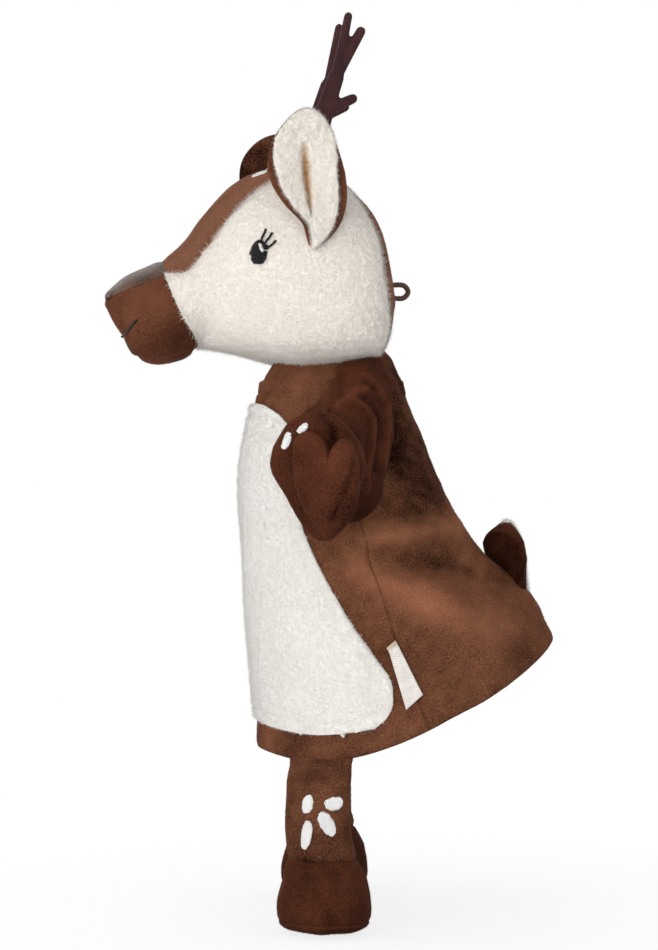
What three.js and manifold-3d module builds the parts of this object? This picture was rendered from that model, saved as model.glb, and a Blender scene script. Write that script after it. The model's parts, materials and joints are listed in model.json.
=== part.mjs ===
// Deer hand puppet: a sewn plush glove with a stuffed head, two finger sleeves, two dangling legs and a tail.
// Units are millimetres, +Z is up, the puppet faces -X and its left side faces -Y.
// The origin is the middle of the hem opening, where the hand goes in.

import * as THREE from 'three';
import { mergeVertices } from 'three/addons/utils/BufferGeometryUtils.js';
import Module from 'manifold-3d';

const wasm = await Module();
wasm.setup();

// Air between pieces
const GAP = 0.3; // pieces that are sewn together
const SWING_GAP = 0.5; // pieces that turn against each other

// Cloth thickness
const VELOUR = 2.4; // brown glove cloth with its short pile
const HEAD_PILE = 3; // cream head cloth
const BELLY_PILE = 1.8; // white belly patch

// Glove, a cone that leans back
const NECK_X = -28;
const NECK_Z = 115;
const NECK_RADIUS = 25;
const HEM_LENGTH = 117; // front to back, along the tilted hem
const HEM_WIDTH = 98; // side to side
const HEM_TILT = 20; // degrees that the hem rises to the back
const HEM_SIDE_DROP = 15; // how far the hem hangs lower at the sides
const CHEST_BOW = 2.8; // how far the chest bulges forward of a straight line
const BACK_BOW = 8; // how far the back is hollowed
const BREAST = 3; // how far the chest stands out
const WITHERS = 3; // how far the back stands out below the neck
const RUMP = 5; // how far the cloth stands out under the tail
const SEAM_TOP = 96; // degrees round from the front to the side seam, at the neck
const SEAM_HEM = 99; // the same at the hem
const FOLD_DEPTH = 2.6; // soft flutes of the cloth behind the side seams

// Belly patch, as shares of the way from neck to hem
const BELLY_TOP = 0.06;
const BELLY_BOTTOM = 0.937;
const BELLY_SPREAD = 90; // degrees round from the front at its widest

// Woven label in the left side seam
const LABEL_WIDTH = 8;
const LABEL_LENGTH = 24;
const LABEL_THICK = 1;

// Neck seam band
const BAND_RADIUS = 23;
const BAND_HOLE = 14; // radius of the way through for a finger
const BAND_HEIGHT = 16;

// Head, measured from its pivot in the middle of the skull
const HEAD_X = -30; // pivot, and the middle of the neck seam
const HEAD_RISE = 40; // pivot above the rim of the glove's neck
const HEAD_TURN = 8; // degrees that the head looks to its left
const NOSE_REACH = 79;
const SKULL_BACK = 26.5;
const CROWN = 39;
const JAW = 36;
const HEAD_HALF_WIDTH = 36;
const HEAD_ROUND = 2.3; // exponent of its cross-sections: 2 is an ellipse
const NOD_UP = 20; // degrees
const NOD_DOWN = 14;

// Finger pocket in the head
const POCKET_RADIUS = 10;
const POCKET_WALL = 1.1;
const POCKET_TOP = 14; // above the pivot

// Strip of brown cloth from the nose over the crown to the nape
const STRIP_NOSE = 12.5; // half widths
const STRIP_BROW = 18;
const STRIP_NAPE = 25;

// Muzzle seams
const MUZZLE_TOP_X = -59;
const MUZZLE_TOP_Z = -2.4;
const MUZZLE_LOW_X = -45;
const MUZZLE_LOW_Z = -28.5;
const NOSE_TIP_Z = -11; // lower edge of the nose leather at the tip
const CHIN_HALF_WIDTH = 8.5;

// Eyes
const EYE_X = -25.4;
const EYE_Z = 5.4;
const EYE_WIDTH = 6.2;
const EYE_HEIGHT = 9.4;
const EYE_PAD = 1; // how far the satin stitch stands up

// Ears
const EAR_X = -11;
const EAR_Z = 4.5;
const EAR_LENGTH = 51;
const EAR_HALF_WIDTH = 13.3;
const EAR_BACK = 2.8; // brown layer
const EAR_LINING = 3.6; // cream layer
const EAR_CUP = 5; // how far its edges roll outward
const EAR_LEAN = 12; // degrees outward from upright
const EAR_CREASE = 1.8;
const EAR_SEAT = 1.5; // how far its root reaches into the head's side before it is cut to it

// Antlers, flat stuffed pieces with three tines
const ANTLER_X = -6;
const ANTLER_SIDE = 8; // from the middle of the head
const ANTLER_RISE = 54.5; // root to top tip
const ANTLER_SPLAY = 4; // degrees outward
const ANTLER_SWEEP = 14.5; // how far its top leans back
const ANTLER_THICK = 3.8;
const BEAM_WIDTH = 7;
const TIP_WIDTH = 3;
const TINE_REACH = 9; // how far a tine points back from the beam
const ANTLER_ROOT = 6; // how far it reaches into the crown before it is cut to it

// Hanging loop of round elastic at the back of the head
const LOOP_CORD = 2;
const LOOP_HEIGHT = 7;
const LOOP_REACH = 5.6;
const LOOP_Z = -6.6;
const LOOP_ROOT = 3; // how far its ends reach into the nape before they are cut to it

// Arms
const SHOULDER_AT = 0.15; // share of the way from neck to hem
const SHOULDER_RADIUS = 16;
const SLEEVE_LENGTH = 26; // shoulder to wrist
const SLEEVE_WALL = 2.2;
const SLEEVE_INSET = 8; // how far its open end reaches into the glove
const WRIST_RADIUS = 10.5;
const ARM_DROOP = 20; // degrees below level
const ARM_FORWARD = 9; // degrees toward the front
const ARM_SWING_FORWARD = 30;
const ARM_SWING_BACK = 12;

// Hooves at the ends of the arms
const HOOF_LENGTH = 24; // wrist to sole
const HOOF_HALF_WIDTH = 17.5;
const HOOF_HALF_HEIGHT = 22.5;
const HOOF_HANG = 5; // how far its middle hangs below the wrist
const HEART_WIDTH = 25;
const HEART_HEIGHT = 35;
const HEART_THICK = 6;
const HEART_BACK = 4; // how far the heart sits toward the back of the hoof

// Legs
const HIP_ANGLE = 57; // degrees round the hem from the front
const SHIN_LENGTH = 31;
const SHIN_HALF_WIDTH = 13;
const SHIN_HALF_DEPTH = 10.5;
const TAB_RADIUS = 2.2; // the flat sewn top of a leg
const BOOT_HEIGHT = 21;
const BOOT_HALF_WIDTH = 18;
const BOOT_HALF_DEPTH = 16;
const TOE_REACH = 1;
const SOLE_THICK = 4.6;
const SOLE_EDGE = 2.2; // rounding at the edge of the sole

// Tail
const TAIL_AT = 0.84; // share of the way from neck to hem
const TAIL_RISE = 25;
const TAIL_HALF_WIDTH = 11;
const TAIL_TOP_CLOTH = 3.4;
const TAIL_UNDER_CLOTH = 3;
const TAIL_CURL = 13; // how far its tip comes back over
const TAIL_CUP = 4; // how far its edges stand forward of its middle
const TAIL_SEAT = 2; // how far its inner face starts inside the glove's back before it is cut to it
const TAIL_ROOT = 6; // how far both layers reach down into that cut

// Colours
const BROWN = 0x683f2b;
const DARK_BROWN = 0x4a2417;
const MUZZLE_BROWN = 0x5b3423;
const LIGHT_BROWN = 0x875d44;
const NOSE_GREY = 0x68564c;
const CREAM = 0xece5df;
const WHITE = 0xe5e2de;
const ANTLER_BROWN = 0x40262a;
const BLACK = 0x15120f;
const LABEL_WHITE = 0xd8d2cc;

const radians = THREE.MathUtils.degToRad;
const lerp = THREE.MathUtils.lerp;
const flat = (x, z) => new THREE.Vector2(x, z);
const point = (x, y, z) => new THREE.Vector3(x, y, z);

// Solids

// A solid from corner points and triangles, turned so that its faces look outward.
function solidFrom(corners, triangles) {
  const faces = triangles.filter(([a, b, c]) => a !== b && b !== c && c !== a);
  let volume = 0;
  for (const [a, b, c] of faces) {
    volume += corners[a].dot(point(0, 0, 0).crossVectors(corners[b], corners[c]));
  }
  const order = volume < 0 ? faces.map(([a, b, c]) => [a, c, b]) : faces;
  const vertProperties = new Float32Array(corners.flatMap((p) => [p.x, p.y, p.z]));
  const triVerts = new Uint32Array(order.flat());
  return new wasm.Manifold(new wasm.Mesh({ numProp: 3, vertProperties, triVerts }));
}

// The solid inside a closed three.js geometry.
function solidOf(geometry) {
  const bare = new THREE.BufferGeometry();
  bare.setAttribute('position', geometry.getAttribute('position'));
  if (geometry.index) bare.setIndex(geometry.index);
  const merged = mergeVertices(bare, 1e-4);
  const position = merged.getAttribute('position');
  const corners = [];
  for (let i = 0; i < position.count; i += 1) {
    corners.push(new THREE.Vector3().fromBufferAttribute(position, i));
  }
  const triangles = [];
  for (let i = 0; i < merged.index.count; i += 3) {
    triangles.push([merged.index.getX(i), merged.index.getX(i + 1), merged.index.getX(i + 2)]);
  }
  return solidFrom(corners, triangles);
}

function geometryOf(solid) {
  const mesh = solid.getMesh();
  const geometry = new THREE.BufferGeometry();
  geometry.setAttribute('position', new THREE.BufferAttribute(new Float32Array(mesh.vertProperties), 3));
  geometry.setIndex(new THREE.BufferAttribute(new Uint32Array(mesh.triVerts), 1));
  geometry.computeVertexNormals();
  return geometry;
}

// A copy of a solid, moved by a matrix.
function moved(solid, matrix) {
  return solidOf(geometryOf(solid).applyMatrix4(matrix));
}

// The largest single body of a cut solid, without the slivers that a seam leaves.
function mainBody(solid) {
  const bodies = solid.decompose();
  return bodies.reduce((best, body) => (body.volume() > best.volume() ? body : best));
}

// A closed skin over rings of points, with a fan on each end.
function loft(rings) {
  const count = rings[0].length;
  const corners = rings.flat();
  const triangles = [];
  for (let i = 0; i + 1 < rings.length; i += 1) {
    for (let k = 0; k < count; k += 1) {
      const a = i * count + k;
      const b = i * count + ((k + 1) % count);
      triangles.push([a, b, b + count], [a, b + count, a + count]);
    }
  }
  for (const [start, turn] of [[0, 1], [(rings.length - 1) * count, -1]]) {
    const middle = new THREE.Vector3();
    for (let k = 0; k < count; k += 1) middle.addScaledVector(corners[start + k], 1 / count);
    const tip = corners.push(middle) - 1;
    for (let k = 0; k < count; k += 1) {
      const a = start + k;
      const b = start + ((k + 1) % count);
      triangles.push(turn > 0 ? [tip, b, a] : [tip, a, b]);
    }
  }
  return solidFrom(corners, triangles);
}

// A closed panel of cloth. surface(u, v, side) gives its inner (side 0) and outer (side 1) points.
function panel(surface, uSteps, vSteps) {
  const corners = [];
  const at = (i, k, side) => (side * (uSteps + 1) + i) * (vSteps + 1) + k;
  for (const side of [0, 1]) {
    for (let i = 0; i <= uSteps; i += 1) {
      for (let k = 0; k <= vSteps; k += 1) corners.push(surface(i / uSteps, k / vSteps, side));
    }
  }
  const triangles = [];
  const quad = (a, b, c, d) => triangles.push([a, b, c], [a, c, d]);
  for (let i = 0; i < uSteps; i += 1) {
    for (let k = 0; k < vSteps; k += 1) {
      quad(at(i, k, 1), at(i + 1, k, 1), at(i + 1, k + 1, 1), at(i, k + 1, 1));
      quad(at(i, k, 0), at(i, k + 1, 0), at(i + 1, k + 1, 0), at(i + 1, k, 0));
    }
    quad(at(i, 0, 0), at(i + 1, 0, 0), at(i + 1, 0, 1), at(i, 0, 1));
    quad(at(i, vSteps, 0), at(i, vSteps, 1), at(i + 1, vSteps, 1), at(i + 1, vSteps, 0));
  }
  for (let k = 0; k < vSteps; k += 1) {
    quad(at(0, k, 0), at(0, k, 1), at(0, k + 1, 1), at(0, k + 1, 0));
    quad(at(uSteps, k, 0), at(uSteps, k + 1, 0), at(uSteps, k + 1, 1), at(uSteps, k, 1));
  }
  return solidFrom(corners, triangles);
}

// A flat outline in the XZ plane, given thickness along Y from y0 to y1.
function prismY(outline, y0, y1) {
  const shape = new THREE.Shape(outline);
  const geometry = new THREE.ExtrudeGeometry(shape, { depth: y1 - y0, bevelEnabled: false });
  return solidOf(geometry.rotateX(Math.PI / 2).translate(0, y1, 0));
}

// A flat outline in the XY plane, given thickness along Z from z0 to z1.
function prismZ(outline, z0, z1) {
  const shape = new THREE.Shape(outline);
  const geometry = new THREE.ExtrudeGeometry(shape, { depth: z1 - z0, bevelEnabled: false });
  return solidOf(geometry.translate(0, 0, z0));
}

function cylinderZ(radius, z0, z1, segments) {
  const geometry = new THREE.CylinderGeometry(radius, radius, z1 - z0, segments);
  return solidOf(geometry.rotateX(Math.PI / 2).translate(0, 0, (z0 + z1) / 2));
}

function ball(radius, x, y, z) {
  return solidOf(new THREE.SphereGeometry(radius, 18, 12).translate(x, y, z));
}

// Value at s of a smooth line through [position, value] points.
function along(line, s) {
  const last = line.length - 1;
  let i = 0;
  while (i < last - 1 && s > line[i + 1][0]) i += 1;
  const slope = (k) => {
    const before = line[Math.max(k - 1, 0)];
    const after = line[Math.min(k + 1, last)];
    return (after[1] - before[1]) / (after[0] - before[0]);
  };
  const span = line[i + 1][0] - line[i][0];
  const u = (s - line[i][0]) / span;
  const rise = u * u * (3 - 2 * u);
  const bend = u * (1 - u) * span * (slope(i) * (1 - u) - slope(i + 1) * u);
  return lerp(line[i][1], line[i + 1][1], rise) + bend;
}

const part = new THREE.Group();
part.name = 'deer_hand_puppet';

// Adds a solid to a group as a named mesh with a material of its own.
function piece(group, name, solid, colour, roughness) {
  const material = new THREE.MeshStandardMaterial({ color: colour, roughness, metalness: 0 });
  const mesh = new THREE.Mesh(geometryOf(mainBody(solid)), material);
  mesh.name = name;
  group.add(mesh);
}

// Glove

const hemFront = flat(-HEM_LENGTH / 2, 0).rotateAround(flat(0, 0), radians(HEM_TILT));
const hemBack = flat(HEM_LENGTH / 2, 0).rotateAround(flat(0, 0), radians(HEM_TILT));
const neckFront = flat(NECK_X - NECK_RADIUS, NECK_Z);
const neckBack = flat(NECK_X + NECK_RADIUS, NECK_Z);

// An edge of the glove's side outline, from the neck to the hem, pulled sideways at its middle.
function edge(top, bottom, bow) {
  const pull = flat((top.x + bottom.x) / 2 + 2 * bow, (top.y + bottom.y) / 2);
  return new THREE.QuadraticBezierCurve(top, pull, bottom);
}

const frontEdge = edge(neckFront, hemFront, -CHEST_BOW);
const backEdge = edge(neckBack, hemBack, -BACK_BOW);

// Soft flutes behind the side seams, deepest at the hem, with one crest and one hollow a side, and the full
// places of the glove: breast, withers and rump.
function foldHeight(t, angle) {
  const round = 180 - Math.abs(180 - (angle + 360) % 360);
  const crest = Math.exp(-(((round - 122) / 12) ** 2));
  const hollow = Math.exp(-(((round - 146) / 12) ** 2));
  const rump = Math.exp(-(((t - 0.85) / 0.13) ** 2) - ((180 - round) / 40) ** 2);
  const breast = Math.exp(-(((t - 0.27) / 0.15) ** 2) - (round / 45) ** 2);
  const withers = Math.exp(-(((t - 0.2) / 0.14) ** 2) - ((180 - round) / 45) ** 2);
  return FOLD_DEPTH * t * t * (crest - hollow) + BREAST * breast + WITHERS * withers + RUMP * rump;
}

// A point of the glove: t runs from neck to hem, angle in degrees from the front round its left side.
function glovePoint(t, angle, offset) {
  const front = frontEdge.getPoint(t);
  const back = backEdge.getPoint(t);
  const middle = front.clone().add(back).multiplyScalar(0.5);
  const reach = back.clone().sub(front).multiplyScalar(0.5);
  const grow = offset + foldHeight(t, angle);
  reach.setLength(reach.length() + grow);
  const halfWidth = lerp(NECK_RADIUS, HEM_WIDTH / 2, t) + grow;
  const turn = radians(angle);
  const drop = HEM_SIDE_DROP * t * t * Math.sin(turn) ** 2;
  const x = middle.x - reach.x * Math.cos(turn);
  const z = middle.y - reach.y * Math.cos(turn) - drop;
  return point(x, -halfWidth * Math.sin(turn), z);
}

const seamAngle = (t) => lerp(SEAM_TOP, SEAM_HEM, t);

// Angle at the glove's side that spans a length measured round it.
const angleFor = (t, length) => THREE.MathUtils.radToDeg(length / lerp(NECK_RADIUS, HEM_WIDTH / 2, t));

// The front or back half of the glove, from seam to seam, between two offsets from its outer face.
function gloveHalf(isFront, inner, outer) {
  const surface = (t, v, side) => {
    const inset = angleFor(t, GAP / 2);
    const half = isFront ? seamAngle(t) - inset : 180 - seamAngle(t) - inset;
    const middle = isFront ? 0 : 180;
    return glovePoint(t, lerp(middle - half, middle + half, v), side ? outer : inner);
  };
  return panel(surface, 10, 16);
}

const shoulder = glovePoint(SHOULDER_AT, seamAngle(SHOULDER_AT), -VELOUR / 2);

// Left arm frame: X along the arm, Y toward the back of the puppet.
function armMatrix(swing) {
  const turn = new THREE.Euler(0, radians(ARM_DROOP), radians(-90 - ARM_FORWARD - swing), 'ZYX');
  return new THREE.Matrix4().makeRotationFromEuler(turn).setPosition(shoulder);
}

const mirror = new THREE.Matrix4().makeScale(1, -1, 1);

// Points on an arc in the plane of a lathe profile, as (radius, height).
function arc(centre, radius, from, to, steps) {
  const points = [];
  for (let i = 0; i <= steps; i += 1) {
    const turn = radians(lerp(from, to, i / steps));
    points.push(flat(radius * Math.sin(turn), centre + radius * Math.cos(turn)));
  }
  return points;
}

// A finger stall with a ball at the shoulder and a dome at the wrist, along X.
function stall(shoulderRadius, wristRadius, length, inset) {
  const taper = THREE.MathUtils.radToDeg(Math.asin((shoulderRadius - wristRadius) / length));
  const open = 90 + THREE.MathUtils.radToDeg(Math.asin(inset / shoulderRadius));
  return [
    ...arc(length, wristRadius, 0, 90 - taper, 4),
    ...arc(0, shoulderRadius, 90 - taper, open, 3),
  ];
}

function sleeveSolid() {
  const outside = stall(SHOULDER_RADIUS, WRIST_RADIUS, SLEEVE_LENGTH, SLEEVE_INSET);
  const bore = WRIST_RADIUS - SLEEVE_WALL;
  const inside = stall(SHOULDER_RADIUS - SLEEVE_WALL, bore, SLEEVE_LENGTH - SLEEVE_WALL, SLEEVE_INSET);
  const outline = [...outside, ...inside.reverse()];
  outline[0].x = 0;
  outline[outline.length - 1].x = 0;
  return solidOf(new THREE.LatheGeometry(outline, 16).rotateZ(-Math.PI / 2));
}

// The space that a left sleeve needs in the side of the glove through its whole swing.
function armhole() {
  const [shoulderRoom, wristRoom] = [SHOULDER_RADIUS + SWING_GAP, WRIST_RADIUS + SWING_GAP];
  const outline = stall(shoulderRoom, wristRoom, SLEEVE_LENGTH, SHOULDER_RADIUS);
  outline[0].x = 0;
  outline[outline.length - 1].x = 0;
  const plug = solidOf(new THREE.LatheGeometry(outline, 16).rotateZ(-Math.PI / 2));
  const steps = 3;
  let space = moved(plug, armMatrix(ARM_SWING_FORWARD));
  for (let i = 1; i <= steps; i += 1) {
    const swing = lerp(ARM_SWING_FORWARD, -ARM_SWING_BACK, i / steps);
    space = space.add(moved(plug, armMatrix(swing)));
  }
  return space;
}

function buildGlove() {
  const holes = armhole();
  const bothHoles = holes.add(moved(holes, mirror));
  const frontRoom = gloveHalf(true, -VELOUR, GAP);
  const backRoom = gloveHalf(false, -VELOUR, GAP);
  piece(part, 'glove_front_panel', gloveHalf(true, -VELOUR, 0).subtract(bothHoles), BROWN, 0.9);
  piece(part, 'glove_back_panel', gloveHalf(false, -VELOUR, 0).subtract(bothHoles), BROWN, 0.9);
  piece(part, 'belly_patch', bellyPatch().subtract(frontRoom).subtract(bothHoles), WHITE, 0.95);
  piece(part, 'woven_label', sideLabel().subtract(backRoom), LABEL_WHITE, 0.8);
}

// Half of the belly patch's spread at each height: a round top, wider sides and round lower corners.
const BELLY_LINE = [
  [0, 0.36], [0.05, 0.57], [0.1, 0.69], [0.4, 0.72], [0.67, 0.855], [0.87, 0.99], [0.95, 0.99], [1, 0.87],
];

function bellyPatch() {
  const surface = (k, v, side) => {
    const u = (1 - Math.cos(Math.PI * k)) / 2;
    const spread = BELLY_SPREAD * along(BELLY_LINE, u);
    const angle = lerp(-spread, spread, v);
    return glovePoint(lerp(BELLY_TOP, BELLY_BOTTOM, u), angle, side ? GAP + BELLY_PILE : -VELOUR / 2);
  };
  return panel(surface, 9, 12);
}

// A folded strip that hangs from the left side seam and lies on the back half.
function sideLabel() {
  const slope = glovePoint(0.7, SEAM_HEM, 0).distanceTo(glovePoint(0.95, SEAM_HEM, 0)) / 0.25;
  const top = 0.95 - LABEL_LENGTH / slope;
  const surface = (u, v, side) => {
    const t = lerp(top, 0.95, u);
    const start = seamAngle(t) + angleFor(t, GAP);
    const angle = start + angleFor(t, LABEL_WIDTH * v);
    return glovePoint(t, angle, side ? GAP + LABEL_THICK : -VELOUR / 2);
  };
  return panel(surface, 4, 3);
}

// Head shape

// Lines of the head from nose (-1) past the pivot (0) to the back of the skull (1).
const TOP_LINE = [
  [-1, -0.18], [-0.92, -0.03], [-0.79, 0.08], [-0.7, 0.17], [-0.57, 0.52], [-0.42, 0.83],
  [-0.23, 0.99], [-0.05, 1], [0.38, 0.78], [0.76, 0.44], [1, -0.16],
];
const LOW_LINE = [
  [-1, 0.28], [-0.95, 0.53], [-0.84, 0.92], [-0.72, 0.97], [-0.57, 0.78],
  [-0.42, 0.81], [-0.25, 0.91], [-0.1, 0.98], [0.53, 0.87], [0.83, 0.74], [1, 0.33],
];
const SIDE_LINE = [
  [-1, 0.17], [-0.94, 0.39], [-0.81, 0.53], [-0.66, 0.56], [-0.53, 0.61],
  [-0.25, 0.89], [0, 1], [0.53, 0.92], [0.83, 0.67], [1, 0.2],
];
const HEAD_STATIONS = [
  -1, -0.97, -0.92, -0.84, -0.73, -0.62, -0.52, -0.38, -0.22, 0, 0.35, 0.65, 0.86, 0.96, 1,
];
const HEAD_SEGMENTS = 20;

const headX = (s) => (s < 0 ? s * NOSE_REACH : s * SKULL_BACK);
const headShare = (x) => (x < 0 ? x / NOSE_REACH : x / SKULL_BACK);

// Middle height, half height and half width of the head at a station.
function headSection(s) {
  const top = CROWN * along(TOP_LINE, s);
  const low = -JAW * along(LOW_LINE, s);
  return { middle: (top + low) / 2, half: (top - low) / 2, width: HEAD_HALF_WIDTH * along(SIDE_LINE, s) };
}

const rounded = (value) => Math.sign(value) * Math.abs(value) ** (2 / HEAD_ROUND);

function headForm(grow, segments = HEAD_SEGMENTS) {
  const rings = HEAD_STATIONS.map((s) => {
    const { middle, half, width } = headSection(s);
    const ring = [];
    for (let k = 0; k < segments; k += 1) {
      const turn = (2 * Math.PI * k) / segments;
      const y = Math.max(width + grow, 0.5) * rounded(Math.sin(turn));
      const z = middle + Math.max(half + grow, 0.5) * rounded(Math.cos(turn));
      ring.push(point(headX(s) + grow * s, y, z));
    }
    return ring;
  });
  return loft(rings);
}

// Half width of the head at a place on its side.
function headSide(x, z) {
  const { middle, half, width } = headSection(headShare(x));
  const up = Math.min(Math.abs(z - middle) / half, 0.98);
  return width * (1 - up ** HEAD_ROUND) ** (1 / HEAD_ROUND);
}

const FAR = 90; // beyond every part of the head

// Everything in front of the muzzle seam.
function muzzleZone(shift) {
  const lean = (MUZZLE_LOW_X - MUZZLE_TOP_X) / (MUZZLE_LOW_Z - MUZZLE_TOP_Z);
  const foot = MUZZLE_LOW_X + lean * (-FAR - MUZZLE_LOW_Z);
  const outline = [
    flat(-2 * FAR, FAR), flat(MUZZLE_TOP_X - 1 + shift, FAR), flat(MUZZLE_TOP_X + shift, MUZZLE_TOP_Z),
    flat(foot + shift, -FAR), flat(-2 * FAR, -FAR),
  ];
  return prismY(outline, -FAR, FAR);
}

// Everything above the lower edge of the nose leather.
function noseZone(shift) {
  const slope = (MUZZLE_TOP_Z - NOSE_TIP_Z) / (MUZZLE_TOP_X + NOSE_REACH);
  const ahead = NOSE_TIP_Z - slope * FAR - shift;
  const behind = MUZZLE_TOP_Z + slope * FAR - shift;
  const outline = [
    flat(-NOSE_REACH - FAR, FAR), flat(-NOSE_REACH - FAR, ahead),
    flat(MUZZLE_TOP_X + FAR, behind), flat(MUZZLE_TOP_X + FAR, FAR),
  ];
  return prismY(outline, -FAR, FAR);
}

// The underside between the muzzle's two lower seams.
function chinZone(grow) {
  const half = CHIN_HALF_WIDTH + grow;
  const front = -NOSE_REACH * 0.86 - grow;
  const outline = [flat(front, -half), flat(0, -half), flat(0, half), flat(front, half)];
  return prismZ(outline, -FAR, MUZZLE_LOW_Z + grow);
}

// The strip over the crown, and down the back of the skull to the nape.
function stripZone(grow) {
  const line = [
    [-0.8, STRIP_NOSE], [-0.35, STRIP_BROW], [0.3, 0.85 * STRIP_BROW], [1, STRIP_NAPE], [1.4, STRIP_NAPE],
  ];
  const stations = [-0.8, -0.55, -0.35, -0.1, 0.3, 0.7, 1.4];
  const side = stations.map((s) => flat(headX(s), along(line, s) + grow));
  const outline = [...side, ...side.map((p) => flat(p.x, -p.y)).reverse()];
  const nape = [
    flat(0.45 * SKULL_BACK, -STRIP_NAPE - grow), flat(2 * SKULL_BACK, -STRIP_NAPE - grow),
    flat(2 * SKULL_BACK, STRIP_NAPE + grow), flat(0.45 * SKULL_BACK, STRIP_NAPE + grow),
  ];
  return prismZ(outline, 0, FAR).add(prismZ(nape, -FAR, FAR));
}

// Space of one side of the head, past the seam down its middle.
function sideZone(side) {
  const outline = [flat(-2 * FAR, GAP / 2), flat(2 * FAR, GAP / 2), flat(2 * FAR, FAR), flat(-2 * FAR, FAR)];
  const zone = prismZ(outline, -FAR, FAR);
  return side < 0 ? moved(zone, mirror) : zone;
}

const headPlace = point(HEAD_X, 0, NECK_Z + HEAD_RISE);

// A group that stands at the head's pivot and looks where the head looks.
function headGroup(name) {
  const group = new THREE.Group();
  group.name = name;
  group.position.copy(headPlace);
  group.rotation.z = radians(HEAD_TURN);
  part.add(group);
  return group;
}

function buildNeck() {
  const group = headGroup('neck_frame');
  const ring = cylinderZ(BAND_RADIUS, GAP - HEAD_RISE, BAND_HEIGHT - HEAD_RISE, 24);
  let band = ring.subtract(cylinderZ(BAND_HOLE, -FAR, FAR, 16));
  const head = headForm(SWING_GAP);
  const steps = 5;
  for (let i = 0; i <= steps; i += 1) {
    const nod = new THREE.Matrix4().makeRotationY(radians(lerp(-NOD_DOWN, NOD_UP, i / steps)));
    band = band.subtract(moved(head, nod));
  }
  piece(group, 'neck_seam_band', band, BROWN, 0.9);
}

// A cloth tube closed at its top, for the pointing finger.
function fingerPocket() {
  const inner = POCKET_RADIUS - POCKET_WALL;
  const foot = -JAW + HEAD_PILE;
  const outline = [
    ...arc(POCKET_TOP - POCKET_RADIUS, POCKET_RADIUS, 0, 90, 4), flat(POCKET_RADIUS, foot), flat(inner, foot),
    ...arc(POCKET_TOP - POCKET_RADIUS, inner, 90, 0, 4),
  ];
  outline[0].x = 0;
  outline[outline.length - 1].x = 0;
  return solidOf(new THREE.LatheGeometry(outline, 20).rotateX(Math.PI / 2));
}

// The room that the finger pocket needs in the stuffing and in the head's skin.
function pocketRoom() {
  const outline = [
    ...arc(POCKET_TOP - POCKET_RADIUS, POCKET_RADIUS + GAP, 0, 90, 4),
    flat(POCKET_RADIUS + GAP, -FAR), flat(0, -FAR),
  ];
  outline[0].x = 0;
  return solidOf(new THREE.LatheGeometry(outline, 20).rotateX(Math.PI / 2));
}

function buildHead() {
  const group = headGroup('head_frame');
  const room = pocketRoom();
  const skin = headForm(0).subtract(headForm(-HEAD_PILE)).subtract(room);
  const muzzle = skin.intersect(muzzleZone(-GAP / 2));
  const skull = skin.subtract(muzzleZone(GAP / 2));
  const nose = muzzle.intersect(noseZone(-GAP / 2));
  const jaws = muzzle.subtract(noseZone(GAP / 2));
  const cheeks = skull.subtract(stripZone(GAP));
  const lips = jaws.subtract(chinZone(GAP));
  piece(group, 'head_stuffing', headForm(-HEAD_PILE - GAP, HEAD_SEGMENTS / 2).subtract(room), WHITE, 1);
  piece(group, 'finger_pocket', fingerPocket(), DARK_BROWN, 0.9);
  piece(group, 'head_left_side', cheeks.intersect(sideZone(-1)), CREAM, 0.95);
  piece(group, 'head_right_side', cheeks.intersect(sideZone(1)), CREAM, 0.95);
  piece(group, 'crown_strip', skull.intersect(stripZone(0)), LIGHT_BROWN, 0.9);
  piece(group, 'muzzle_left', lips.intersect(sideZone(-1)), MUZZLE_BROWN, 0.9);
  piece(group, 'muzzle_right', lips.intersect(sideZone(1)), MUZZLE_BROWN, 0.9);
  piece(group, 'chin_gusset', jaws.intersect(chinZone(0)), MUZZLE_BROWN, 0.9);
  piece(group, 'nose_leather', nose, NOSE_GREY, 0.7);
  piece(group, 'hanging_loop', hangingLoop(), DARK_BROWN, 0.8);
  const clear = headForm(GAP);
  for (const [name, side] of [['left', -1], ['right', 1]]) {
    piece(group, `${name}_eye`, eye(side).subtract(clear), BLACK, 0.5);
    piece(group, `${name}_antler`, antler(side).subtract(clear), ANTLER_BROWN, 0.6);
    piece(group, `${name}_ear_back`, earLayer(side, 0, EAR_BACK).subtract(clear), BROWN, 0.9);
    const lining = earLayer(side, EAR_BACK + GAP, EAR_BACK + GAP + EAR_LINING);
    piece(group, `${name}_ear_lining`, lining.subtract(clear), CREAM, 0.95);
  }
}

// A round elastic, bent to a loop whose two ends go into the nape seam.
function hangingLoop() {
  const z = LOOP_Z;
  const half = (LOOP_HEIGHT - LOOP_CORD) / 2;
  const reach = LOOP_REACH - LOOP_CORD / 2;
  const path = new THREE.CatmullRomCurve3([
    point(SKULL_BACK - LOOP_ROOT, 0, z + 0.7 * half), point(SKULL_BACK + 0.6 * reach, 0, z + half),
    point(SKULL_BACK + reach, 0, z),
    point(SKULL_BACK + 0.6 * reach, 0, z - half), point(SKULL_BACK - LOOP_ROOT, 0, z - 0.7 * half),
  ]);
  const round = new THREE.Shape().absarc(0, 0, LOOP_CORD / 2, 0, 2 * Math.PI);
  const geometry = new THREE.ExtrudeGeometry(round, { steps: 10, extrudePath: path, curveSegments: 4 });
  return solidOf(geometry).subtract(headForm(GAP));
}

// A padded oval of satin stitch.
function eye(side) {
  const y = side * headSide(EYE_X, EYE_Z);
  const oval = new THREE.SphereGeometry(1, 14, 10).scale(EYE_WIDTH / 2, EYE_PAD + 1, EYE_HEIGHT / 2);
  return solidOf(oval.rotateY(radians(10)).translate(EYE_X, y, EYE_Z));
}

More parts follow.
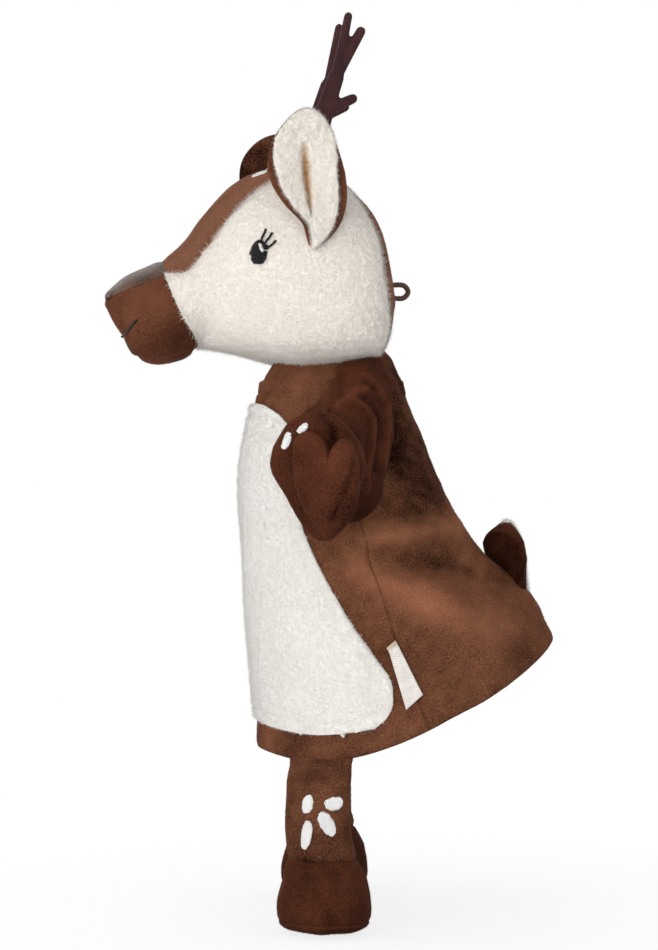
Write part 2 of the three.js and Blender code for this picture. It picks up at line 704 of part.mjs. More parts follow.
// An upright oval of cloth, rolled outward at its edges and creased down its middle.
function earLayer(side, inner, outer) {
  const base = headSide(EAR_X, EAR_Z) - EAR_SEAT;
  const lean = radians(EAR_LEAN);
  const surface = (u, v, face) => {
    const across = lerp(-1, 1, v);
    const half = 1 + (EAR_HALF_WIDTH - 1) * Math.sqrt(1 - Math.abs(2 * u - 1) ** 2.2);
    const swell = Math.sin(Math.PI * u);
    const isLiningFace = face && outer > EAR_BACK;
    const crease = isLiningFace ? EAR_CREASE * Math.exp(-((across / 0.2) ** 2)) * swell : 0;
    const out = (face ? outer : inner) + EAR_CUP * across ** 2 * swell - crease;
    const up = u * EAR_LENGTH;
    const y = base + out * Math.cos(lean) + up * Math.sin(lean);
    const z = EAR_Z + up * Math.cos(lean) - out * Math.sin(lean);
    return point(EAR_X + half * across, side * y, z);
  };
  return panel(surface, 10, 6);
}

// A tapered bar with round ends between two places in the XZ plane.
function tine(from, to, startWidth, endWidth) {
  const heading = to.clone().sub(from).angle();
  const shape = new THREE.Shape();
  shape.absarc(from.x, from.y, startWidth / 2, heading + Math.PI / 2, heading - Math.PI / 2, false);
  shape.absarc(to.x, to.y, endWidth / 2, heading - Math.PI / 2, heading + Math.PI / 2, false);
  const bevel = ANTLER_THICK / 4;
  const options = {
    depth: ANTLER_THICK / 2, bevelThickness: bevel, bevelSize: bevel, bevelOffset: -bevel,
    bevelSegments: 1, curveSegments: 3,
  };
  const geometry = new THREE.ExtrudeGeometry(shape, options);
  return solidOf(geometry.rotateX(Math.PI / 2).translate(0, ANTLER_THICK / 4, 0));
}

function antler(side) {
  const root = flat(0, -ANTLER_ROOT);
  const top = flat(ANTLER_SWEEP, ANTLER_RISE);
  const bend = flat(0.42 * ANTLER_SWEEP, 0.36 * ANTLER_RISE);
  const fork = flat(0.7 * ANTLER_SWEEP, 0.59 * ANTLER_RISE);
  const lowerBeam = tine(root, bend, BEAM_WIDTH, 0.95 * BEAM_WIDTH);
  const upperBeam = tine(bend, fork, 0.95 * BEAM_WIDTH, 0.85 * BEAM_WIDTH);
  const topTine = tine(fork, top, 0.55 * BEAM_WIDTH, TIP_WIDTH);
  const backTip = flat(fork.x + TINE_REACH, 0.9 * ANTLER_RISE);
  const backTine = tine(fork, backTip, 0.6 * BEAM_WIDTH, 1.2 * TIP_WIDTH);
  const lowTip = flat(bend.x + 1.15 * TINE_REACH, 0.45 * ANTLER_RISE);
  const lowTine = tine(bend, lowTip, 0.65 * BEAM_WIDTH, 1.2 * TIP_WIDTH);
  const splay = new THREE.Matrix4().makeRotationX(radians(-side * ANTLER_SPLAY));
  const seat = headSection(headShare(ANTLER_X));
  const foot = seat.middle + seat.half * (1 - (ANTLER_SIDE / seat.width) ** HEAD_ROUND) ** (1 / HEAD_ROUND);
  splay.setPosition(ANTLER_X, side * ANTLER_SIDE, foot);
  return moved(lowerBeam.add(upperBeam).add(topTine).add(backTine).add(lowTine), splay);
}

// Arms

// Half width, half height and hang of a hoof from wrist (0) to sole (1).
const HOOF_STATIONS = [
  [0, 0.58, 0.43, 0], [0.25, 0.8, 0.68, 0.45], [0.55, 0.98, 0.95, 0.9], [0.82, 1, 1, 1], [1, 0.86, 0.88, 1],
];

function hoofUpper() {
  const start = SLEEVE_LENGTH + 0.5 * WRIST_RADIUS;
  const rings = HOOF_STATIONS.map(([k, wide, high, hang]) => {
    const ring = [];
    for (let i = 0; i < 20; i += 1) {
      const turn = (2 * Math.PI * i) / 20;
      const y = HOOF_HALF_WIDTH * wide * Math.cos(turn);
      const z = HOOF_HALF_HEIGHT * high * Math.sin(turn) - HOOF_HANG * hang;
      ring.push(point(lerp(start, SLEEVE_LENGTH + HOOF_LENGTH, k), y, z));
    }
    return ring;
  });
  return loft(rings).subtract(ball(WRIST_RADIUS + SWING_GAP, SLEEVE_LENGTH, 0, 0));
}

// The heart-shaped sole of a cloven hoof, its notch at the top.
function hoofHeart() {
  const w = HEART_WIDTH / 2;
  const h = HEART_HEIGHT / 2;
  const heart = new THREE.Shape();
  heart.moveTo(0, 0.62 * h);
  heart.bezierCurveTo(0.25 * w, 1.1 * h, w, 1.05 * h, w, 0.35 * h);
  heart.bezierCurveTo(w, -0.25 * h, 0.35 * w, -0.75 * h, 0, -h);
  heart.bezierCurveTo(-0.35 * w, -0.75 * h, -w, -0.25 * h, -w, 0.35 * h);
  heart.bezierCurveTo(-w, 1.05 * h, -0.25 * w, 1.1 * h, 0, 0.62 * h);
  const bevel = HEART_THICK / 3;
  const options = {
    depth: HEART_THICK - bevel, bevelThickness: bevel, bevelSize: bevel, bevelOffset: -bevel,
    bevelSegments: 3, curveSegments: 7,
  };
  const geometry = new THREE.ExtrudeGeometry(heart, options);
  const toArm = new THREE.Matrix4().makeBasis(point(0, 1, 0), point(0, 0, 1), point(1, 0, 0));
  toArm.setPosition(SLEEVE_LENGTH + HOOF_LENGTH + GAP, HEART_BACK, -HOOF_HANG);
  const end = SLEEVE_LENGTH + HOOF_LENGTH + GAP;
  const beyond = [flat(end, -FAR), flat(end + FAR, -FAR), flat(end + FAR, FAR), flat(end, FAR)];
  return solidOf(geometry.applyMatrix4(toArm)).intersect(prismY(beyond, -FAR, FAR));
}

// A group that holds the pieces of one side. The right one mirrors the left.
function sideGroup(name, side) {
  const group = new THREE.Group();
  group.name = name;
  group.scale.y = side < 0 ? 1 : -1;
  part.add(group);
  return group;
}

function buildArm(name, side) {
  const arm = new THREE.Group();
  arm.name = `${name}_arm_frame`;
  arm.applyMatrix4(armMatrix(0));
  sideGroup(`${name}_arm_side`, side).add(arm);
  piece(arm, `${name}_sleeve`, sleeveSolid(), BROWN, 0.9);
  piece(arm, `${name}_hoof`, hoofUpper(), DARK_BROWN, 0.9);
  piece(arm, `${name}_hoof_heart`, hoofHeart(), DARK_BROWN, 0.9);
}

// Legs

// An upright stack of ovals: each row is height, half depth, half width and how far its middle is forward.
function ovals(rows) {
  return loft(rows.map(([z, deep, wide, forward]) => {
    const ring = [];
    for (let i = 0; i < 20; i += 1) {
      const turn = (2 * Math.PI * i) / 20;
      ring.push(point(forward + deep * Math.cos(turn), wide * Math.sin(turn), z));
    }
    return ring;
  }));
}

// Where the left leg hangs: under the lowest place of the hem that its flat top meets.
function hipPlace() {
  const span = angleFor(1, SHIN_HALF_WIDTH);
  const middle = glovePoint(1, HIP_ANGLE, -VELOUR / 2);
  let low = middle.z;
  for (const share of [-1, -0.5, 0.5, 1]) {
    low = Math.min(low, glovePoint(1, HIP_ANGLE + share * span, -VELOUR / 2).z);
  }
  return point(middle.x, middle.y, low - TAB_RADIUS - SWING_GAP);
}

function buildLeg(name, side) {
  const leg = new THREE.Group();
  leg.name = `${name}_leg_frame`;
  leg.position.copy(hipPlace());
  leg.rotation.z = radians(180 + HIP_ANGLE);
  sideGroup(`${name}_leg_side`, side).add(leg);
  const [d, w, tab] = [SHIN_HALF_DEPTH, SHIN_HALF_WIDTH, TAB_RADIUS];
  const ankle = -SHIN_LENGTH;
  const heel = ankle - BOOT_HEIGHT;
  const floor = heel - SOLE_THICK;
  const shin = ovals([
    [0.9 * tab, 0.4 * tab, 0.93 * w, 0], [0.55 * tab, 0.83 * tab, w, 0], [0, tab, w, 0],
    [0.2 * ankle, 0.6 * d, w, 0], [0.45 * ankle, 0.92 * d, 0.98 * w, 0], [0.75 * ankle, d, w, 0],
    [ankle, d, 1.03 * w, 0],
  ]);
  const [bd, bw, toe] = [BOOT_HALF_DEPTH, BOOT_HALF_WIDTH, TOE_REACH];
  const boot = ovals([
    [ankle - GAP, d, 1.03 * w, 0], [lerp(ankle, heel, 0.25), lerp(d, bd, 0.55), lerp(w, bw, 0.55), 0.4 * toe],
    [lerp(ankle, heel, 0.6), 0.97 * bd, 0.97 * bw, 0.9 * toe], [lerp(ankle, heel, 0.85), bd, bw, toe],
    [heel, 0.96 * bd, 0.96 * bw, toe],
  ]);
  const e = SOLE_EDGE;
  const sole = ovals([
    [heel - GAP, 0.94 * bd, 0.94 * bw, toe], [lerp(heel, floor, 0.4), 0.98 * bd, 0.98 * bw, toe],
    [floor + 0.3 * e, bd - 0.5 * e, bw - 0.5 * e, toe], [floor, bd - e, bw - e, toe],
  ]);
  piece(leg, `${name}_shin`, shin, BROWN, 0.9);
  piece(leg, `${name}_boot`, boot, DARK_BROWN, 0.9);
  piece(leg, `${name}_sole`, sole, DARK_BROWN, 0.9);
}

// Tail

// A leaf that rises from the back and curls over, brown toward the glove and white outside.
function tailLayer(inner, outer) {
  const foot = glovePoint(TAIL_AT, 180, 0);
  const root = flat(-0.3 * TAIL_ROOT, -TAIL_ROOT);
  const bend = flat(-0.65 * TAIL_CURL, 0.9 * TAIL_RISE);
  const line = new THREE.QuadraticBezierCurve(root, bend, flat(-TAIL_CURL, TAIL_RISE));
  const surface = (u, v, face) => {
    const across = lerp(-1, 1, v);
    const place = line.getPoint(u);
    const heading = line.getTangent(u);
    const half = TAIL_HALF_WIDTH * (0.35 + 0.65 * Math.sin(Math.PI * (0.12 + 0.8 * u)));
    const toBack = (face ? outer : inner) - TAIL_CUP * across ** 2 * Math.sin(Math.PI * u);
    const x = foot.x + place.x + heading.y * toBack;
    const z = foot.z + place.y - heading.x * toBack;
    return point(x, half * across, z);
  };
  return panel(surface, 8, 6);
}

function buildTail() {
  const t = (k) => glovePoint(k, 180, GAP);
  const near = glovePoint(0.4, 180, GAP);
  const far = glovePoint(1, 180, GAP);
  const outline = [flat(near.x - FAR, near.z + FAR), flat(near.x, near.z)];
  for (const k of [0.6, 0.75, 0.84, 0.92]) outline.push(flat(t(k).x, t(k).z));
  outline.push(flat(far.x, far.z), flat(far.x, far.z - FAR), flat(near.x - FAR, far.z - FAR));
  const body = prismY(outline, -FAR, FAR);
  const middle = TAIL_TOP_CLOTH - TAIL_SEAT;
  const under = tailLayer(middle + GAP, middle + GAP + TAIL_UNDER_CLOTH);
  piece(part, 'tail_top', tailLayer(-TAIL_SEAT, middle).subtract(body), BROWN, 0.9);
  piece(part, 'tail_under', under.subtract(body), WHITE, 0.95);
}

buildGlove();
buildNeck();
buildHead();
for (const [name, side] of [['left', -1], ['right', 1]]) {
  buildArm(name, side);
  buildLeg(name, side);
}
buildTail();

export default part;
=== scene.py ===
"""Looks of a deer hand puppet: velour glove, sherpa head and belly, embroidery, antlers and stuffed limbs.

Shapes are worked out in millimetres in the part's own frame: +Z up, facing -X, its left side toward -Y.
"""

import json
import math

import bmesh
import bpy
import numpy as np
from mathutils import Matrix, Vector
from mathutils.bvhtree import BVHTree
from mathutils.kdtree import KDTree


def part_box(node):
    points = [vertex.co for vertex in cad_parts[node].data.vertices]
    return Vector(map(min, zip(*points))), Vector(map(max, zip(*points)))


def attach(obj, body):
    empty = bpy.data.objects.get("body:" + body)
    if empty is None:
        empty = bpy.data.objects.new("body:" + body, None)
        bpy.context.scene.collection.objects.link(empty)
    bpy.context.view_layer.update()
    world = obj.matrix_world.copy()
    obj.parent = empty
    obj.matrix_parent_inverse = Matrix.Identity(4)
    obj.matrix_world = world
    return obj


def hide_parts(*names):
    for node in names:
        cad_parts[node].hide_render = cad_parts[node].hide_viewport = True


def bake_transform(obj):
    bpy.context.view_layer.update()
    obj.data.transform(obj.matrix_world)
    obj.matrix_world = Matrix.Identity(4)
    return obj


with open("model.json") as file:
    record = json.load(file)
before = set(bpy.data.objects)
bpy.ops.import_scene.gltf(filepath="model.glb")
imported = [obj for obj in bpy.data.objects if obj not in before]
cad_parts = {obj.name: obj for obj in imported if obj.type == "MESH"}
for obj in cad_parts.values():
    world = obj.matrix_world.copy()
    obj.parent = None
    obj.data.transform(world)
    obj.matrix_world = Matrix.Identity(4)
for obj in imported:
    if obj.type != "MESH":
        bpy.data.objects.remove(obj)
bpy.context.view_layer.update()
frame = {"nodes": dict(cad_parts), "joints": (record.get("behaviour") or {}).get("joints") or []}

MM = 0.001
GAP = 0.3

# The photo's camera in metres, and its scale in millimetres in the part's middle plane
CAMERA_PLACE = (-0.0270, -0.900, 0.0803)
CAMERA_LENS = 92.2
ORIGIN_PIXEL = (402, 692)
PIXEL = 0.37

# Glove
NECK = (-28, 115)  # x and z of the rim's middle
NECK_RADIUS = 25
HEM_LENGTH = 117
HEM_WIDTH = 98
HEM_TILT = 20
HEM_X = HEM_LENGTH / 2 * math.cos(math.radians(HEM_TILT))
HEM_Z = HEM_LENGTH / 2 * math.sin(math.radians(HEM_TILT))
HEM_SIDE_DROP = 12.5
HEM_SAGS = [(60, 1.5, 27), (112, -0.7, 14), (148, 2.2, 15)]  # angle, depth and width of each
CHEST_BOW = 2.8
BACK_BOW = 6.6
FLUTE_DEPTH = 2.6
FLUTES = [(122, 1), (146, -1)]  # angle and sign of the folds that run down to the hem
FLUTE_WIDTH = 12
THROAT = 1.0  # how much the rim is drawn in under the chin
NAPE = 2.6  # and stands out at the nape
SEAM_TOP = 96  # angle of the side seam at the neck, and at the hem
SEAM_HEM = 99
GLOVE_CLOTH = 2.0
GLOVE_MIDDLE = (0, 0, 40)
ARMHOLE = 9

# Swells of the glove: height, place and width down it, angle and width round it
SWELLS = [
    (5, 0.85, 0.13, 180, 40),
    (3, 0.27, 0.15, 0, 45),
    (2.4, 0.2, 0.14, 180, 45),
    (-2.2, 0.9, 0.25, 0, 60),
]
# Soft folds of the glove as seen from the side: two ends (x, z), height and half width
SIDE_FOLDS = [
    ((-14, 57), (22, 61), 3.2, 4.5),
    ((-10, 49), (28, 47), -2.6, 4.5),
    ((-18, 47), (40, 22), 2.4, 8),
    ((24, 43), (38, 40), -2.0, 4),
    ((-30, 56), (-17, 12), 1.6, 4),
    ((-24, 60), (-8, 18), -1.8, 4),
    ((0, 20), (34, 0), -2.0, 7),
]
# Painted highlights and shade on its pile: lighter along the crests of those folds, darker in their hollows
# and under the head, in the same way
LIGHT_AND_SHADE_BANDS = [
    ((-13, 59.5), (18, 61), 0.5, 4.5),
    ((-8, 50), (22, 47), -0.35, 3.6),
    ((-16, 47), (7, 36), 0.42, 7),
    ((7, 36), (36, 25), 0.36, 7),
    ((26, 46), (38, 41), -0.3, 4),
    ((22, 49), (29, 47), 0.3, 3),
    ((-2, 112), (12, 78), -0.42, 12),
    ((-4, 92), (3, 68), -0.35, 8),
    ((-14, 116), (-12, 98), -0.2, 7),
]

# Neck: height above the rim, middle in x, half length and half width
NECK_RINGS = [(0, -25.6, 25.3, 25.2), (2, -25.7, 24.2, 23.0), (5.4, -25.4, 22.4, 18.4),
              (9, -25.4, 20.5, 15.5), (16, -28.0, 15.0, 12.5)]
NECK_CLOTH = 1.4
GATHERS = 17
GATHER_DEPTH = 0.4
GATHER_FADE = 0.09  # share of the glove's height over which they fade out
RIM_TUCK = 1.8  # how far the glove's rim is drawn in under the neck

# Belly patch: shares of the glove's height, and of BELLY_SPREAD degrees round it
BELLY_TOP = 0.06
BELLY_SHOULDER = 0.086  # how much lower its top edge is at its ends
BELLY_BOTTOM = 0.92
BELLY_DIP = 0.026  # how much lower its bottom edge is at its ends
BELLY_SPREAD = 90
BELLY_LINE = [(0, .69), (.33, .725), (.63, .89), (.86, 1.01), (.94, 1.0), (.98, .96), (1, .9)]
BELLY_PILE = 1.8
BELLY_CLOTH = 1.5
BELLY_CLEAR = 1.1
BELLY_STITCH = 4.2  # how far inside its edge it is stitched down

# Label in the side seam, by the photo's pixels
LABEL_CORNERS = [(388.5, 650), (397.5, 644), (422.5, 694), (406, 709.5)]
LABEL_TAB = [(386.5, 648), (395.5, 640), (400, 648), (391, 656)]

# Head, with lines along it from -1 at the nose to 1 at the nape
HEAD_TURN = 8
NOSE_REACH = 79
SKULL_BACK = 26.5
CROWN = 39
JAW = 36
HEAD_HALF_WIDTH = 36
HEAD_ROUND = 2.3
JAW_ROUND = 3.8  # the lower half of the head is squarer and overhangs the neck
HEAD_CLOTH = 2.2
TOP_LINE = [(-1, -.2), (-.92, -.06), (-.79, .065), (-.7, .17), (-.625, .32), (-.57, .48), (-.42, .815),
            (-.23, .985), (-.05, 1), (.38, .78), (.76, .44), (1, -.16)]
LOW_LINE = [(-1, .37), (-.963, .54), (-.925, .67), (-.905, .765), (-.885, .845), (-.86, .89), (-.776, .945),
            (-.671, .91), (-.62, .865), (-.57, .785), (-.42, .81), (-.25, .9), (-.1, .97), (.53, .9),
            (.83, .81), (1, .4)]
SIDE_LINE = [(-1, .17), (-.94, .39), (-.81, .53), (-.66, .56), (-.53, .61), (-.25, .89), (0, 1), (.53, .92),
             (.83, .67), (1, .2)]
STRIP_LINE = [(-.8, 13), (-.72, 15.8), (-.65, 18), (-.5, 19.3), (-.35, 20.2), (.3, 15.3), (.55, 24),
              (.76, 28), (1, 30), (1.4, 30)]
STRIP_NAPE = 28
NAPE_START = 12
MUZZLE_TOP = (-59, -2.4)
MUZZLE_LOW = (-45, -28.5)
MUZZLE_BOW = 1.8
NOSE_TIP_Z = -10.5
CHIN_HALF_WIDTH = 8.5
CHIN_FRONT = -68
HEAD_SEAM_DEPTH = 0.9
HEAD_SEAM_WIDTH = 1.4
CURL_SIZE = 3.0

# Embroidery: places in the head's frame, or pixels of the photo, then lengths, widths and leans
EYE = (-26.3, 4.6)
EYE_SIZE = (7.2, 8.8)
GLINT = (0.7, 1.5)
LASHES = [((1.1, 4.6), (2.6, 8.0)), ((2.6, 3.6), (4.9, 6.7)), ((2.9, 1.4), (6.0, 4.0))]
MOUTH_STITCH = [(125.5, 334), (137, 320)]
FOREHEAD_MARKS = [(-26, 13.5, 7.5, 4.2), (-19.5, 9, 5.0, 3.0)]
HOOF_MARKS = [(286.5, 441, 6.6, 2.8, 25), (302.5, 428.5, 4.8, 2.2, 50)]
SHIN_MARKS = [(307.5, 804, 6.6, 4.6, 0), (334.5, 803.5, 7.4, 4.6, 82), (327.5, 824, 9.4, 5.0, -34),
              (306.5, 835, 10.4, 4.4, 10)]
STITCH_RADIUS = 0.42

# Hanging loop: places out from the nape and shares of its half height
LOOP_HALF_HEIGHT = 2.7
LOOP_Z = -6.6
LOOP_LINE = [(-3, 0.7), (2.48, 0.95), (4.96, 0.75), (6.2, 0), (4.96, -0.75), (2.48, -0.95), (-3, -0.7)]

# Ears, with half widths along them
EAR_X = -11
EAR_Z = 4.5
EAR_LENGTH = 51
EAR_BACK = 2.8
EAR_LINING = 3.6
EAR_CUP = 5
EAR_LEAN = 12
EAR_SEAT = 1.5
EAR_CREASE = 2.6
EAR_FRONT_LINE = [(0, 1.5), (.1, 1.6), (.17, 2.4), (.22, 4.4), (.3, 7.9), (.45, 12), (.6, 13.8), (.8, 13.6),
                  (1, 10)]
EAR_REAR_LINE = [(0, 8.5), (.15, 11), (.36, 11.8), (.6, 11), (.8, 10.5), (1, 9.4)]

# Arms: where the photo shows their lines, in its pixels, and how the hoof tapers downward
ARM_DROOP = 20
ARM_FORWARD = 9
SLEEVE_LENGTH = 26
SLEEVE_END = 37.0  # where it ends inside the hoof
SLEEVE_BOW = 8.0
WRIST_RADIUS = 8.0
SLEEVE_CLOTH = 1.2
RIDGE_HEIGHT = 1.7
RIDGE_WIDTH = 1.7
PLEAT_DEPTH = 1.4
PLEAT_WIDTH = 1.8
HOOF_PLEAT_DEPTH = 2.4
HOOF_PLEAT_WIDTH = 1.7
GROOVE_DEPTH = 0.9
GROOVE_WIDTH = 1.2
ARMHOLE_RING = [
    (342, 367), (362, 359), (379, 356), (389, 376), (391, 400), (393, 418), (393, 436), (390, 459),
    (384, 480), (378, 502), (364, 518), (343, 522), (320, 505), (307, 478), (303, 446), (307, 413),
    (316, 403), (330, 388),
]
SLEEVE_RIDGES = [
    [(338, 410), (348, 397), (366, 390)],
    [(352, 400), (365, 409), (372, 419), (373, 430), (370, 452), (366, 468), (366, 488)],
    [(367, 377), (378, 390), (386, 409), (387, 427), (385, 448), (382, 468)],
]
SLEEVE_PLEATS = [
    [(343, 374), (343, 398)],
    [(360, 396), (372, 404), (379, 418), (379, 440), (376, 470)],
]
HOOF_PLEAT = [(323, 412), (331, 425), (334, 444)]
HEART_GROOVE = [(355, 449), (356, 462), (351, 477), (344, 494), (332, 520)]
HOOF_FRONT_TAPER = [(-30, .58), (-16, .6), (-10, .66), (-5.7, .78), (-1, .94), (3, 1), (30, 1)]
HOOF_REAR_TAPER = [(-30, .7), (-19, .74), (-13, .74), (-4.8, .88), (2, 1), (30, 1)]

# Legs: height from the hip, half depth and half width
HIP_ANGLE = 57
TOE_REACH = 1
LEG_ROWS = {
    "shin": [(11, 0.9, 12), (6, 1.1, 13), (2, 2.4, 13.4), (-2, 6.0, 13.4), (-6, 9.0, 13.0), (-14, 10.5, 12.5),
             (-23, 10.9, 12.5), (-28.6, 11.4, 13.2), (-30.6, 11.0, 12.8), (-31.6, 10, 12)],
    "boot": [(-29.8, 10, 12), (-30.8, 10.6, 12.6), (-32.2, 11.8, 13.8), (-38, 14.0, 16.1), (-45, 15.6, 17.5),
             (-50, 15.7, 17.6), (-52.2, 15.2, 17.0), (-53, 14.2, 16)],
    "sole": [(-50, 14.0, 15.9), (-52, 14.8, 16.6), (-53.4, 15.1, 16.9), (-54.9, 13.9, 15.7),
             (-56.1, 11.2, 13), (-56.7, 7.5, 9.5)],
}

# Tail
TAIL_AT = 0.84
TAIL_SHIFT = -1.6  # how far it is moved along x from the glove's own line
TAIL_RISE = 25
TAIL_ROOT = 6
TAIL_HALF_WIDTH = 11
TAIL_CURL = 8.5
TAIL_CUP = 3.0
TAIL_TWIST = 36  # degrees that its near edge is turned to the back

# Uneven cloth: height, size and seed of each layer of bumps
GLOVE_BUMPS = [(0.45, 26, 3), (0.12, 7, 4)]
NECK_BUMPS = [(0.35, 22, 19)]
BELLY_BUMPS = [(0.25, 3.2, 5), (0.25, 30, 6)]
HEAD_BUMP = (0.25, 24, 35)
EAR_BUMPS = [(0.25, 3, 61)]
SLEEVE_BUMPS = [(0.7, 17, 80), (0.12, 6, 81)]
LEG_BUMPS = [(0.3, 15, 101), (0.1, 6, 102)]

# Pile: fibres per square millimetre, length, width, lean and spread
SHERPA_NAP = (7, 1.6, 0.15, (0, 0, -0.3), 0.6)
VELOUR_NAP = (3, 0.7, 0.12, (0.2, 0, -0.3), 0.5)
GLOVE_NAP = (2.6, 0.8, 0.13, (0, 0, -0.4), 0.5)
BELLY_NAP = (5.5, 1.5, 0.15, (0, 0, -0.3), 0.6)
FRINGE_NAP = (8, 2.6, 0.17, (0, 0, -0.1), 0.9)
FRINGE_WIDTH = 1.6
TAIL_RIM_NAP = (9, 1.9, 0.13, (0.1, 0, 0.3), 0.5)

# Studio, in metres: each light's name, place, target, size and watts
PUPPET_MIDDLE = (-0.01, 0, 0.08)
LIGHTS = [
    ("key", (-0.9, -1.1, 1.2), PUPPET_MIDDLE, 1.0, 3.5),
    ("front", (0.1, -1.7, 0.05), PUPPET_MIDDLE, 1.4, 5),
    ("low", (-0.7, -1.1, 0.0), PUPPET_MIDDLE, 0.9, 3.5),
    ("bounce", (-0.25, -0.55, -0.07), (-0.03, 0, 0.15), 0.5, 2.5),
    ("top", (0.2, 0.5, 1.5), PUPPET_MIDDLE, 1.0, 2),
]
WORLD_LIGHT = 0.72
FLOOR_FADE = (0.05, 0.2)  # the floor goes white between these distances
FLOOR_GLOW = 0.8
FLOOR_DROP = 0.0008


# Places from the frame

def joint_place(name):
    """Where a joint sits, in millimetres."""
    found = next(j for j in frame["joints"] if j["name"] == name)
    return np.array(found["pos_m"]) / MM


def turned(angle_z, angle_y=0.0):
    about_z = Matrix.Rotation(math.radians(angle_z), 3, "Z")
    return np.array(about_z @ Matrix.Rotation(math.radians(angle_y), 3, "Y"))


HEAD_PLACE = joint_place("head_nod")
SHOULDER = joint_place("left_arm_swing")
HIP = joint_place("left_leg_swing")
HEAD_AXES = turned(HEAD_TURN)
ARM_AXES = turned(-90 - ARM_FORWARD, ARM_DROOP)


def from_head(points):
    return points @ HEAD_AXES.T + HEAD_PLACE


def to_head(points):
    return (points - HEAD_PLACE) @ HEAD_AXES


def from_arm(points):
    return points @ ARM_AXES.T + SHOULDER


def to_arm(points):
    return (points - SHOULDER) @ ARM_AXES


# Numbers

def lerp(a, b, t):
    return a + (b - a) * t


def ramp(x, start, end):
    """From 0 at start to 1 at end, and level beyond them."""
    return np.clip((x - start) / (end - start), 0, 1)


def bell(x, width):
    """A smooth bump of height 1 about nought."""
    return np.exp(-(x / width) ** 2)


def bent(a, b, c, t):
    """A curve from a to c that is pulled toward b."""
    return (1 - t) ** 2 * a + 2 * t * (1 - t) * b + t * t * c


def unit(vectors):
    return vectors / np.maximum(np.linalg.norm(vectors, axis=1), 1e-9)[:, None]


def round_turns(count):
    return np.linspace(0, 2 * math.pi, count, endpoint=False)


def along(line, s):
    """Values at s of a smooth line through (position, value) points."""
    x, y = np.array(line, float).T
    last = len(x) - 1
    before, after = np.maximum(np.arange(last + 1) - 1, 0), np.minimum(np.arange(last + 1) + 1, last)
    slope = (y[after] - y[before]) / (x[after] - x[before])
    i = np.clip(np.searchsorted(x, s, side="left") - 1, 0, last - 1)
    span = x[i + 1] - x[i]
    u = (s - x[i]) / span
    rise = u * u * (3 - 2 * u)
    return y[i] + (y[i + 1] - y[i]) * rise + u * (1 - u) * span * (slope[i] * (1 - u) - slope[i + 1] * u)


def ring_of(points, count):
    """Places on a smooth closed line through a few points."""
    total = len(points)
    wrapped = [points[i % total] for i in range(-2, total + 3)]
    s = np.linspace(0, total, count, endpoint=False)
    return np.stack([along([(i - 2, p[axis]) for i, p in enumerate(wrapped)], s) for axis in (0, 1)], 1)


def ripple(points, size, seed, waves=10):
    """A smooth random height from about -1 to 1, with bumps of a size in millimetres."""
    rng = np.random.default_rng(seed)
    heading = rng.normal(size=(waves, 3))
    heading /= np.linalg.norm(heading, axis=1)[:, None]
    heading *= rng.uniform(0.6, 1.4, waves)[:, None]
    phase = rng.uniform(0, 2 * math.pi, waves)
    return np.sin(points @ heading.T * (2 * math.pi / size) + phase).sum(1) / math.sqrt(2 * waves)


def distances(spots, points):
    """How far each point is from the nearest of some spots."""
    tree = KDTree(len(spots))
    for i, spot in enumerate(spots):
        tree.insert(spot, i)
    tree.balance()
    return np.array([tree.find(p)[2] for p in points])


# Sheets of cloth

